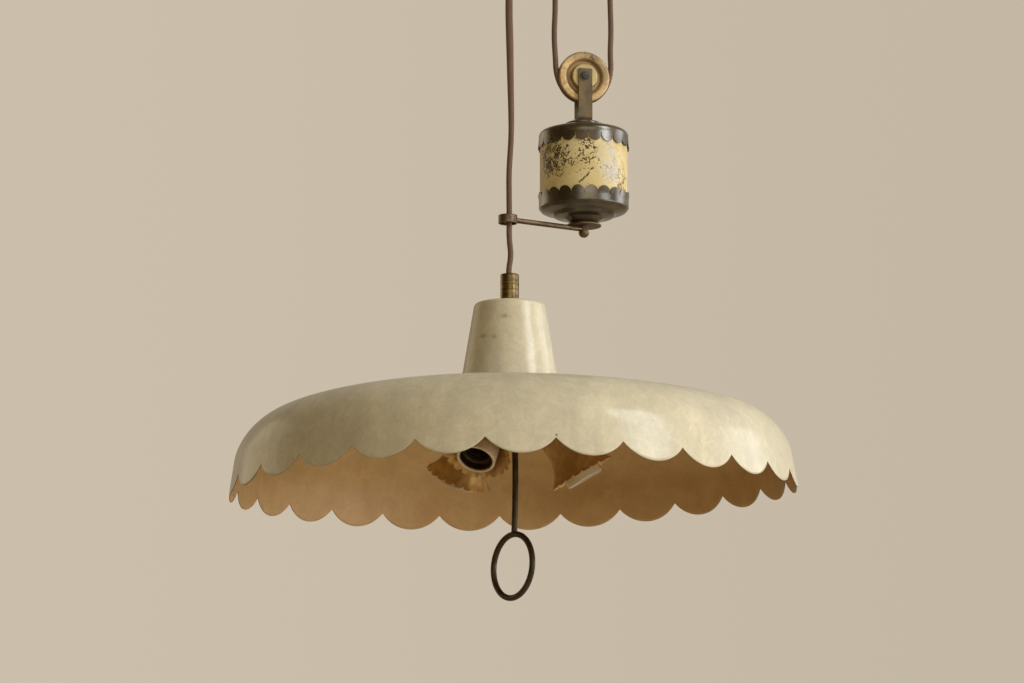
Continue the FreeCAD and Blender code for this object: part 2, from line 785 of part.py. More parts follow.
def ring_wire():
    """The ring carries on from the end of the rod."""
    arc = rod_arc()
    end = at_height(shade_axis, ring_top_z) + FreeCAD.Vector(rod_lean, 0, 0)
    down = arc.tangentAt(arc.LastParameter)
    angle = math.radians(pull_ring_azimuth + 90)
    normal = FreeCAD.Vector(math.cos(angle), math.sin(angle), 0)
    normal = normal - down * normal.dot(down)
    ring = Part.makeTorus(pull_ring_radius, pull_ring_wire)
    return aimed(ring, normal, end + down * pull_ring_radius)


def pull_rod():
    return cord_tube([rod_arc()], rod_radius).cut(ring_wire())


# ---- counterweight ----------------------------------------------------------------------------------
def weight_yoke():
    strap = strap_yoke(sheave_dir, sheave_z, yoke_foot_z, yoke_head_rise, strap_thickness)
    return moved_to(strap.cut(cylinder(bolt_radius + hole_clearance, yoke_foot_z - 1, yoke_foot_z + 10)), weight_axis)


def weight_bolt():
    """Runs from the yoke's foot down through the whole weight into the ball."""
    head_z = yoke_foot_z + strap_thickness
    shank = cylinder(bolt_radius, eye_foot_z - bolt_in_ball, head_z)
    head = hexagon(bolt_head_flats, head_z, head_z + bolt_head_height)
    return moved_to(shank.fuse(head).removeSplitter(), weight_axis)


def weight_boss():
    hole = bolt_radius + hole_clearance
    boss = turned([
        (hole, boss_foot_z, 0), (boss_radius, boss_foot_z, 0), (boss_radius, boss_foot_z + 1.2, 0.5),
        (boss_top_radius + 2, yoke_foot_z - 0.8, 2.0), (boss_top_radius, yoke_foot_z, 0), (hole, yoke_foot_z, 0),
    ])
    return moved_to(boss, weight_axis)


def weight_top_cap():
    wall = sleeve_radius + cap_play + cap_sheet
    notch = boss_foot_z - top_cap_notch_fall
    tip = notch - cap_scallop_depth
    corners = [
        (wall + cap_flare, tip, 0), (wall, notch + 2, 20.0),
        (wall, boss_foot_z - cap_dome_fall, cap_shoulder_round), (boss_radius - 0.5, boss_foot_z, 12.0),
        (bolt_radius + hole_clearance, boss_foot_z, 0),
    ]
    cap = spun_sheet(corners, cap_sheet)
    waste = scallop_waste(cap_scallops, wall + cap_flare, 4.0, tip, notch, top_cap_phase, cap_scallop_slit)
    return moved_to(cap.cut(waste), weight_axis)


def weight_sleeve():
    high = boss_foot_z - cap_dome_fall - cap_shoulder_round
    low = bottom_tip_z() - cap_scallop_depth - 3.0
    return moved_to(tube(sleeve_radius, sleeve_radius - sleeve_wall, low, high), weight_axis)


def weight_core():
    radius = sleeve_radius - sleeve_wall - cap_play
    high = boss_foot_z - cap_dome_fall - cap_shoulder_round
    low = bottom_tip_z() - cap_scallop_depth - 3.0
    return moved_to(tube(radius, bolt_radius + hole_clearance, low, high), weight_axis)


def bottom_tip_z():
    return weight_foot_z + bottom_tip_rise


def weight_bottom_cap():
    wall = sleeve_radius + cap_play + cap_sheet
    tip = bottom_tip_z()
    foot = weight_foot_z
    corners = [
        (bolt_radius + hole_clearance, foot, 0), (13.0, foot, 2.0), (18.5, foot + 5.0, 1.5),
        (21.5, foot + 7.0, 2.5), (32.0, foot + 8.4, 1.5), (34.8, foot + 12.0, 1.5),
        (45.5, foot + 14.2, 2.0), (wall, foot + 17.4, 2.5), (wall, tip - cap_scallop_depth + 1.5, 20.0),
        (wall + cap_flare, tip, 0),
    ]
    cap = spun_sheet(corners, cap_sheet)
    notch = tip - cap_scallop_depth
    waste = scallop_waste(cap_scallops, wall + cap_flare, 4.0, tip, notch, bottom_cap_phase, cap_scallop_slit)
    return moved_to(cap.cut(waste), weight_axis)


def washer_disc():
    disc = turned([
        (bolt_radius + hole_clearance, disc_foot_z, 0), (washer_disc_radius, disc_foot_z, 0.7),
        (washer_disc_radius, weight_foot_z, 0.7), (bolt_radius + hole_clearance, weight_foot_z, 0),
    ])
    return moved_to(disc, weight_axis)


def guide_arm():
    """A round rod with an eye on the counterweight's bolt, brazed to the guide ring."""
    eye = cylinder(arm_eye_radius, eye_foot_z, disc_foot_z)
    reach = weight_from_shade.Length + guide_overreach
    rod = Part.makeCylinder(guide_arm_radius, reach, FreeCAD.Vector(0, 0, guide_z), arm_dir)
    ring_zone = moved_to(cylinder(guide_ring_radius, guide_z - 20, guide_z + 20), arm_dir * reach)
    hole = cylinder(bolt_radius + hole_clearance, eye_foot_z - 1, disc_foot_z + 1)
    return moved_to(eye.fuse(rod).removeSplitter().cut([ring_zone, hole]), weight_axis)


def guide_ring():
    half = guide_ring_height / 2
    inner = guide_ring_radius - guide_ring_wall
    ring = turned([
        (inner, guide_z - half, 0.8), (guide_ring_radius, guide_z - half, 0.8),
        (guide_ring_radius, guide_z + half, 0.8), (inner, guide_z + half, 0.8),
    ])
    return moved_to(ring, shade_axis + arm_dir * guide_overreach)


def ball_finial():
    centre_z = eye_foot_z - ball_cut_rise
    ball = moved_to(Part.makeSphere(ball_radius), FreeCAD.Vector(0, 0, centre_z))
    ball = ball.common(cylinder(ball_radius + 1, centre_z - ball_radius - 1, eye_foot_z))
    return moved_to(ball.cut(cylinder(bolt_radius, eye_foot_z - bolt_in_ball, eye_foot_z + 1)), weight_axis)


# ---- cord ----------------------------------------------------------------------------------------------
def spring_arc():
    """Radius and foot height of the arc by which the stiff cord leaves the sheave."""
    lift = math.radians((180 - sheave_wrap) / 2)
    radius = (strand_spread - sheave_pitch_radius * math.cos(lift)) / (1 - math.cos(lift))
    return radius, (radius - sheave_pitch_radius) * math.sin(lift)


def strand_foot_z():
    return sheave_z + spring_arc()[1]


def cord_under_sheave():
    radius, rise = spring_arc()
    lift = (180 - sheave_wrap) / 2
    centre = at_height(weight_axis, sheave_z)
    inset = radius - strand_spread
    left = centre + sheave_dir * inset + FreeCAD.Vector(0, 0, rise)
    right = centre - sheave_dir * inset + FreeCAD.Vector(0, 0, rise)
    edges = [
        arc_in_plane(left, sheave_dir, radius, 180, 180 + lift),
        arc_in_plane(centre, sheave_dir, sheave_pitch_radius, 180 + lift, 360 - lift),
        arc_in_plane(right, sheave_dir, radius, 360 - lift, 360),
    ]
    print("cord radii at the sheave", round(radius, 2), sheave_pitch_radius)
    return cord_tube(edges, cord_radius)


def cord_over_pulley():
    centre = at_height(pulley_axis, pulley_z)
    print("cord radius at the ceiling pulley", round(pulley_pitch_radius, 2))
    edges = [
        arc_in_plane(centre, pulley_dir, pulley_pitch_radius, 180, 90),
        arc_in_plane(centre, pulley_dir, pulley_pitch_radius, 90, 0),
    ]
    return cord_tube(edges, cord_radius)


def strand(axis, low, high):
    return moved_to(cylinder(cord_radius, low, high), axis)


# ---- all parts -----------------------------------------------------------------------------------------
def build_parts():
    pulley_centre = at_height(pulley_axis, pulley_z)
    sheave_centre = at_height(weight_axis, sheave_z)
    parts = {
        "ceiling_bar": ceiling_bar(),
        "ceiling_canopy": ceiling_canopy(),
        "stud_nuts": stud_nuts(),
        "ceiling_hanger": ceiling_hanger(),
        "ceiling_axle": axle_with_head(pulley_dir, pulley_centre, hanger_thickness),
        "ceiling_axle_nut": axle_nut(pulley_dir, pulley_centre, hanger_thickness),
        "ceiling_pulley": wheel_on_axle(pulley_pitch_radius, pulley_dir, pulley_centre),
        "cord_anchor": cord_anchor(),
        "anchor_screw": grub_screw(right_strand_axis, anchor_screw_z(), -90, anchor_screw_radius, anchor_radius),
        "terminal_block": terminal_block(),
        "block_screws": block_screws(),
        "shade_dish": shade_dish(),
        "shade_neck": shade_neck(),
        "coupler": coupler(),
        "coupler_screw": grub_screw(shade_axis, coupler_top_z - coupler_screw_drop, coupler_screw_azimuth,
                                    coupler_screw_radius, coupler_radius),
        "neck_nipple": nipple(),
        "neck_washer": neck_washer(),
        "neck_nuts": neck_nuts(),
        "cluster_body": cluster_body(),
        "socket_leads": socket_leads(),
        "pull_rod": pull_rod(),
        "pull_ring": ring_wire(),
        "weight_yoke": weight_yoke(),
        "sheave": wheel_on_axle(sheave_pitch_radius, sheave_dir, sheave_centre),
        "sheave_axle": axle_with_head(sheave_dir, sheave_centre, strap_thickness),
        "sheave_axle_nut": axle_nut(sheave_dir, sheave_centre, strap_thickness),
        "weight_bolt": weight_bolt(),
        "weight_boss": weight_boss(),
        "weight_top_cap": weight_top_cap(),
        "weight_sleeve": weight_sleeve(),
        "weight_core": weight_core(),
        "weight_bottom_cap": weight_bottom_cap(),
        "washer_disc": washer_disc(),
        "guide_arm": guide_arm(),
        "guide_ring": guide_ring(),
        "ball_finial": ball_finial(),
        "cord_shade_strand": strand(shade_axis, coupler_top_z, pulley_z),
        "cord_neck_run": strand(shade_axis, cluster_z, coupler_top_z),
        "cord_over_pulley": cord_over_pulley(),
        "cord_left_strand": strand(left_strand_axis, strand_foot_z(), pulley_z),
        "cord_under_sheave": cord_under_sheave(),
        "cord_right_strand": strand(right_strand_axis, strand_foot_z(), anchor_foot_z),
        "cord_feed": cord_tube(feed_route(), cord_radius),
    }
    for name in socket_azimuths:
        parts["socket_arm_" + name] = socket_arm(name)
        parts["socket_cup_" + name] = socket_cup(name)
        parts["socket_body_" + name] = socket_body(name)
        parts["screw_shell_" + name] = screw_shell(name)
        parts["centre_contact_" + name] = centre_contact(name)
    return parts


os.makedirs("parts", exist_ok=True)
for part_name, part_shape in build_parts().items():
    part_shape.exportStep("parts/" + part_name + ".step")
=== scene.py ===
import json
import math

import bmesh
import bpy
from mathutils import Matrix, Vector


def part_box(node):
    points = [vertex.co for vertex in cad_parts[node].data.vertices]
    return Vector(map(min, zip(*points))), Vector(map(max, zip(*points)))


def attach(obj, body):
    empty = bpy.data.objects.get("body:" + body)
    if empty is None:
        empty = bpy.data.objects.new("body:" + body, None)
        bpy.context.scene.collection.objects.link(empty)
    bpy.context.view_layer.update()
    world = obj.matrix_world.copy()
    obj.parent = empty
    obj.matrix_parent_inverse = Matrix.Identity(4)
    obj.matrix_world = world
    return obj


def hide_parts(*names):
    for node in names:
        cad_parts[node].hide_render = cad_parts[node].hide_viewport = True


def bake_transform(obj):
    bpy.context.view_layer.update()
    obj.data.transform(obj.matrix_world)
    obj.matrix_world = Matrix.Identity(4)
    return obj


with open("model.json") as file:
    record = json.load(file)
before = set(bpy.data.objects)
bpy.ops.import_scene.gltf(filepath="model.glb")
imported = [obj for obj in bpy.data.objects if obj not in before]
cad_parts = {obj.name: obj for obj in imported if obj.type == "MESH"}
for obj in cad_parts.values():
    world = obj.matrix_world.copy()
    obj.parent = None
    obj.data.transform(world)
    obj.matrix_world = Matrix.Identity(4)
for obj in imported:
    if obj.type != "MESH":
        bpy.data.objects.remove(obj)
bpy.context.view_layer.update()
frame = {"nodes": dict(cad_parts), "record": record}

bl_info = {
    "name": "Rise and fall pendant",
    "version": (1, 0, 0),
    "blender": (4, 5, 0),
    "location": "3D View > Sidebar > Pendant",
    "description": "Dresses the pendant lamp with its cord, enamel, brass and porcelain",
    "category": "Object",
}

MM = 0.001
CLUSTER_DEPTH = 46.3 * MM   # from the neck's top down to where the sockets' axes meet
SOCKET_REACH = 161.5 * MM   # from there to a socket's mouth
SCALLOPS = 27               # round the shade's rim
FIRST_SCALLOP = math.radians(11.8)


def middle_of(node):
    """Middle of a node's box."""
    low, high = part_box(node)
    return (Vector(low) + Vector(high)) / 2


def on_axis(node, height):
    """A point at a height on the upright axis through a node."""
    centre = middle_of(node)
    return Vector((centre.x, centre.y, height))


SHADE_AXIS = middle_of("cord_shade_strand")
WEIGHT_AXIS = middle_of("weight_core")
LEFT_AXIS = middle_of("cord_left_strand")
RIGHT_AXIS = middle_of("cord_right_strand")
PULLEY_CENTRE = middle_of("ceiling_pulley")
SHEAVE_CENTRE = middle_of("sheave")
DOME_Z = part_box("shade_dish")[1][2]
RIM_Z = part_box("shade_dish")[0][2]
CLUSTER = on_axis("cord_shade_strand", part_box("shade_neck")[1][2] - CLUSTER_DEPTH)
SOCKET_WAYS = {mount["name"][-1]: Vector(mount["axis"])
               for mount in frame["record"]["mounts"] if mount["name"].startswith("lamp_socket")}


# ---- what a user may change ----
def colour(label, note, value):
    return bpy.props.FloatVectorProperty(
        name=label, description=note, subtype="COLOR", size=3, min=0, max=1, default=value)


def length(label, note, value):
    return bpy.props.FloatProperty(name=label, description=note, unit="LENGTH", min=0, default=value)


def power(label, note, value):
    return bpy.props.FloatProperty(name=label, description=note, unit="POWER", min=0, default=value)


def number(label, note, value, **limits):
    return bpy.props.FloatProperty(name=label, description=note, default=value, **limits)


class PENDANT_PG_colours(bpy.types.PropertyGroup):
    enamel: colour("Enamel", "Outside of the shade and its neck", (0.6, 0.543, 0.4))
    enamel_aged: colour("Aged enamel", "Paler patches in the enamel", (0.56, 0.51, 0.39))
    lining: colour("Lining", "Inside of the shade", (0.56, 0.385, 0.19))
    cord: colour("Cord", "Woven sleeve of the cord", (0.135, 0.077, 0.052))
    bronze: colour("Bronze", "Caps of the counterweight and the canopy", (0.088, 0.064, 0.036))
    brass: colour("Brass", "Coupler, arm, ring and cups", (0.27, 0.19, 0.085))
    gilt: colour("Gilt", "Rims of both cord wheels", (0.53, 0.365, 0.17))
    gilt_hub: colour("Gilt hub", "Hubs of both cord wheels", (0.47, 0.365, 0.165))
    sleeve: colour("Sleeve", "Lacquer on the counterweight's sleeve", (0.63, 0.53, 0.285))
    strap: colour("Strap", "Flat yokes", (0.15, 0.106, 0.05))
    porcelain: colour("Porcelain", "Lamp sockets", (0.61, 0.52, 0.39))


class PENDANT_PG_sizes(bpy.types.PropertyGroup):
    cord: length("Cord", "Diameter of the cord", 0.006)
    cord_wide: number("Flattening", "How much wider the twisted cord looks near its top", 1.32, min=1, max=1.5)
    shade_sheet: length("Shade sheet", "Thickness of the shade", 0.0008)
    lean_right: number("Lean right", "Rise per run of the shade towards the counterweight's side", 0.016)
    lean_back: number("Lean back", "Rise per run of the shade towards its back", 0.008)
    dent: length("Dent", "How far the shade's rim is bent up and down", 0.0021)
    cup_sheet: length("Cup sheet", "Thickness of a socket's cup", 0.0009)
    flute: length("Flute", "Depth of the flutes at a cup's edge", 0.0007)
    thread_pitch: length("Thread", "Pitch of the screw shells", 0.0036)


class PENDANT_PG_stage(bpy.types.PropertyGroup):
    wall: colour("Wall", "Colour behind the lamp", (0.572, 0.497, 0.39))
    floor: colour("Floor", "Colour of the floor", (0.64, 0.55, 0.4))
    window: power("Window", "Power of the window light", 62)
    low: power("Low", "Power of the low light under the rim", 24)
    side: power("Side", "Power of the light at the right", 32)
    fill: power("Fill", "Power of the weak light from the front", 33)
    edge: power("Edge", "Power of the light from behind", 14)
    ambient: number("Ambient", "Level of the room's light", 0.5, min=0)


# ---- node graphs ----
class Tree:
    """A node tree under construction, with the coordinates it works on."""

    def __init__(self, owner, place):
        owner.use_nodes = True
        self.nodes = owner.node_tree.nodes
        self.links = owner.node_tree.links
        self.place = self.nodes.new("ShaderNodeTexCoord").outputs[place]

    def feed(self, socket, value):
        """Give a socket a number, a colour or another socket."""
        if isinstance(value, bpy.types.NodeSocket):
            self.links.new(value, socket)
        elif socket.type == "RGBA":
            socket.default_value = (*value, 1)
        else:
            socket.default_value = value

    def add(self, kind, **inputs):
        """A new node with its inputs fed; an underscore stands for a space in an input's name."""
        node = self.nodes.new("ShaderNode" + kind)
        for name, value in inputs.items():
            self.feed(node.inputs[name.replace("_", " ")], value)
        return node

    def around(self, centre, scale=(1, 1, 1), turn=(0, 0, 0)):
        """Object coordinates measured from a centre, then turned and scaled."""
        shifted = self.vector("SUBTRACT", self.place, tuple(centre))
        return self.add("Mapping", Vector=shifted, Rotation=turn, Scale=scale).outputs[0]

    def vector(self, operation, first, second=None):
        node = self.nodes.new("ShaderNodeVectorMath")
        node.operation = operation
        self.feed(node.inputs[0], first)
        if second is not None:
            self.feed(node.inputs[1], second)
        return node.outputs["Value" if operation in {"LENGTH", "DOT_PRODUCT"} else "Vector"]

    def maths(self, operation, *values):
        node = self.nodes.new("ShaderNodeMath")
        node.operation = operation
        for socket, value in zip(node.inputs, values):
            self.feed(socket, value)
        return node.outputs[0]

    def times(self, first, second):
        return self.maths("MULTIPLY", first, second)

    def noise(self, scale, detail=4.0, roughness=0.55, distortion=0.0, at=None):
        return self.add("TexNoise", Vector=at or self.place, Scale=scale, Detail=detail, Roughness=roughness,
                        Distortion=distortion).outputs[0]

    def cells(self, scale, feature="F1", at=None, output="Distance"):
        node = self.add("TexVoronoi", Vector=at or self.place, Scale=scale)
        node.feature = feature
        return node.outputs[output]

    def step(self, value, low, high):
        """0 below low, 1 above high and smooth between; low may be the larger."""
        falls = low > high
        node = self.add("MapRange", Value=value, From_Min=min(low, high), From_Max=max(low, high),
                        To_Min=float(falls), To_Max=float(not falls))
        node.interpolation_type = "SMOOTHSTEP"
        return node.outputs["Result"]

    def between(self, value, low, high):
        """A value from 0 to 1 spread from low to high."""
        return self.maths("MULTIPLY_ADD", value, high - low, low)

    def blend(self, amount, first, second, way="MIX"):
        """The first colour where the amount is 0 and the second where it is 1."""
        node = self.add("Mix", Factor=amount)
        node.data_type = "RGBA"
        node.blend_type = way
        self.feed(node.inputs[6], first)
        self.feed(node.inputs[7], second)
        return node.outputs[2]

    def shaded(self, base, value, low, high):
        """A colour multiplied by a grey level that runs from low to high as the value goes from 0 to 1."""
        return self.blend(1.0, base, self.between(value, low, high), "MULTIPLY")

    def split(self, vector):
        """The three parts of a vector."""
        return self.add("SeparateXYZ", Vector=vector).outputs

    def specks(self, scale, size, share, at=None):
        """Small scattered spots: 1 in a spot, 0 elsewhere."""
        spot = self.step(self.cells(scale, at=at), size, size * 0.6)
        grey = self.split(self.cells(scale, at=at, output="Color"))[0]
        return self.times(spot, self.step(grey, 1 - share, 1 - share + 0.01))

    def stained(self, base, mask, share, tone):
        """A colour with a share of another one where the mask is 1."""
        return self.blend(self.times(mask, share), base, tone)


class Graph(Tree):
    """A material under construction, on the object's own coordinates."""

    def __init__(self, name, metallic=0.0, roughness=0.5):
        self.material = bpy.data.materials.new(name)
        super().__init__(self.material, "Object")
        self.shader = self.nodes["Principled BSDF"]
        self.set(Metallic=metallic, Roughness=roughness)

    def set(self, **values):
        """Give the shader's sockets plain numbers."""
        for name, value in values.items():
            self.shader.inputs[name.replace("_", " ")].default_value = value

    def bump(self, height, strength, distance):
        """Relief on top of what the shader already has."""
        node = self.add("Bump", Strength=strength, Distance=distance, Height=height)
        normal = self.shader.inputs["Normal"]
        if normal.is_linked:
            self.feed(node.inputs["Normal"], normal.links[0].from_socket)
        self.feed(normal, node.outputs[0])

    def finish(self, base, roughness=None):
        self.feed(self.shader.inputs["Base Color"], base)
        if roughness is not None:
            self.feed(self.shader.inputs["Roughness"], roughness)
        return self.material


# ---- finishes ----
def scaled(tone, level):
    return tuple(level * part for part in tone)


def enamel_finish(tones):
    """Old cream enamel: paler clouds, faint vertical streaks, dark specks and rust pricks."""
    graph = Graph("aged_enamel", roughness=0.36)
    clouds = graph.step(graph.noise(9, 5, 0.6, 0.6), 0.38, 0.66)
    base = graph.blend(clouds, tones.enamel, tones.enamel_aged)
    streaks = graph.noise(26, 5, 0.62, 0.3, at=graph.around(SHADE_AXIS, (1, 1, 0.35)))
    base = graph.shaded(base, graph.step(streaks, 0.3, 0.75), 0.86, 1.05)
    grain = graph.noise(420, 3, 0.6)
    base = graph.shaded(base, grain, 0.9, 1.1)
    smudge = graph.step(graph.noise(34, 6, 0.65, 1.2), 0.64, 0.8)
    base = graph.stained(base, smudge, 0.36, (0.27, 0.2, 0.11))
    mottle = graph.step(graph.noise(95, 6, 0.72, 0.6), 0.4, 0.66)
    base = graph.shaded(base, mottle, 0.93, 1.04)
    pricks = graph.specks(150, 0.1, 0.07)
    base = graph.stained(base, pricks, 0.75, (0.13, 0.075, 0.035))
    spots = graph.specks(46, 0.085, 0.05)
    base = graph.stained(base, spots, 0.7, (0.09, 0.06, 0.035))
    neck_front = SHADE_AXIS.y - 40 * MM
    neck_blots = ((-28, -587, 5.0, 4.0), (-16.5, -589, 3.4, 3.0), (-5, -567, 7.0, 3.6))
    for across, height, wide, tall in neck_blots:
        centre = (SHADE_AXIS.x + across * MM, neck_front, height * MM)
        blot = graph.vector("LENGTH", graph.around(centre, (1 / (wide * MM), 20, 1 / (tall * MM))))
        blot = graph.maths("ADD", blot, graph.between(graph.noise(190, 6, 0.8, 0.8), -1.9, 1.9))
        base = graph.stained(base, graph.step(blot, 1.0, 0.2), 0.5, (0.24, 0.165, 0.075))
    graph.bump(graph.noise(16, 2, 0.5), 0.1, 0.004)
    graph.bump(grain, 0.05, 0.0006)
    graph.bump(graph.times(spots, -1), 0.4, 0.0005)
    roughness = graph.between(graph.noise(60, 4, 0.6), 0.29, 0.45)
    graph.set(Specular_IOR_Level=0.12, Coat_Weight=0.3, Coat_Roughness=0.17)
    return graph.finish(base, roughness)


def lining_finish(tones):
    """Brown paint inside the shade, darker and warmer than the enamel outside."""
    graph = Graph("brown_lining", roughness=0.5)
    clouds = graph.step(graph.noise(11, 5, 0.6, 0.5), 0.35, 0.68)
    base = graph.blend(clouds, tones.lining, (0.5, 0.325, 0.145))
    grain = graph.noise(300, 4, 0.65)
    base = graph.shaded(base, grain, 0.86, 1.12)
    mottle = graph.step(graph.noise(48, 5, 0.6), 0.34, 0.68)
    base = graph.shaded(base, mottle, 0.93, 1.04)
    for scale, share in ((52, 0.1), (120, 0.06)):
        spots = graph.specks(scale, 0.1, share)
        base = graph.stained(base, spots, 0.75, (0.1, 0.055, 0.02))
    graph.bump(grain, 0.06, 0.0006)
    return graph.finish(base, graph.between(graph.noise(50, 4), 0.42, 0.6))


def edge_finish():
    """Bare worn metal along the cut edge of the shade."""
    graph = Graph("worn_edge", metallic=0.3, roughness=0.55)
    base = graph.blend(graph.noise(160, 4, 0.6), (0.1, 0.075, 0.045), (0.25, 0.21, 0.14))
    graph.bump(graph.noise(700, 2), 0.1, 0.0004)
    return graph.finish(base)


def metal_finish(name, tone, dark, metallic, roughness, axis=None, lines=0.0, patches=42, wear=None, **more):
    """Aged metal: cloudy tone, fine scratches, pits, and turned lines round an axis where asked."""
    graph = Graph(name, metallic=metallic, roughness=roughness)
    graph.set(**more)
    clouds = graph.step(graph.noise(patches, 6, 0.62, 0.5), 0.34, 0.68)
    base = graph.blend(clouds, dark, tone)
    grain = graph.noise(520, 4, 0.7)
    base = graph.shaded(base, grain, 0.82, 1.18)
    pits = graph.specks(260, 0.16, 0.12)
    base = graph.stained(base, pits, 0.6, scaled(dark, 0.35))
    if wear:
        worn = graph.step(graph.noise(85, 6, 0.7, 0.8), 0.62, 0.74)
        base = graph.stained(base, worn, 0.55, wear)
    if lines:
        at = graph.around(axis or (0, 0, 0), (8, 8, 430))
        rings = graph.noise(1.0, 3, 0.6, at=at)
        base = graph.shaded(base, graph.step(rings, 0.32, 0.68), 0.5, 1.25)
        graph.bump(rings, lines, 0.0006)
    graph.bump(grain, 0.12, 0.0004)
    graph.bump(graph.noise(120, 4, 0.6), 0.12, 0.001)
    rough = graph.between(graph.noise(90, 5, 0.65), roughness - 0.09, roughness + 0.13)
    return graph.finish(base, rough)


def gilt_finish(tones, name, centre, way, pitch):
    """Ochre gilt on a cord wheel, paler on its hub, chipped to dark metal, with painted shade darkening the
    hollow between hub and rim.
    """
    graph = Graph(name, metallic=0.15, roughness=0.4)
    place = graph.around(centre)
    beside = graph.maths("ABSOLUTE", graph.vector("DOT_PRODUCT", place, tuple(way)))
    whole = graph.vector("LENGTH", place)
    square = graph.maths("SUBTRACT", graph.times(whole, whole), graph.times(beside, beside))
    out = graph.maths("SQRT", graph.maths("MAXIMUM", square, 0.0))
    hub = graph.step(beside, 7.0 * MM, 8.2 * MM)
    # mask of the hollow between hub and rim, for painted shade
    recess_shade = graph.times(graph.step(out, 0.84 * pitch, 0.7 * pitch), graph.step(beside, 8.0 * MM, 6.6 * MM))
    clouds = graph.step(graph.noise(70, 5, 0.6, 0.4), 0.32, 0.68)
    base = graph.blend(clouds, scaled(tones.gilt, 0.66), scaled(tones.gilt, 1.22))
    base = graph.blend(hub, base, tones.gilt_hub)
    # painted shade: the hollow between hub and rim is darkened
    base = graph.stained(base, recess_shade, 0.75, (0.2, 0.12, 0.045))
    grime = graph.step(graph.noise(130, 6, 0.7, 0.8), 0.5, 0.7)
    base = graph.stained(base, grime, 0.55, (0.2, 0.11, 0.035))
    uneven = graph.maths("MULTIPLY_ADD", graph.noise(160, 4, 0.6), 2 * MM, out)
    edge = graph.step(uneven, pitch + 1.9 * MM, pitch + 2.7 * MM)
    base = graph.stained(base, edge, 0.6, (0.13, 0.075, 0.03))
    upper = graph.vector("DOT_PRODUCT", place, (0.5, 0, 0.86))
    worn = graph.step(upper, 0.3 * pitch, 0.9 * pitch)
    flaked = graph.maths("MULTIPLY_ADD", worn, 0.035, graph.noise(240, 5, 0.7, 0.5))
    # darker towards the top of the wheel
    base = graph.shaded(base, graph.step(upper, 0.1 * pitch, pitch), 1.0, 0.66)
    chips = graph.step(flaked, 0.655, 0.68)
    base = graph.blend(chips, base, (0.05, 0.04, 0.03))
    graph.bump(graph.times(chips, -1), 0.5, 0.0003)
    graph.bump(graph.noise(400, 3), 0.08, 0.0004)
    return graph.finish(base, graph.between(graph.noise(110, 4), 0.34, 0.52))


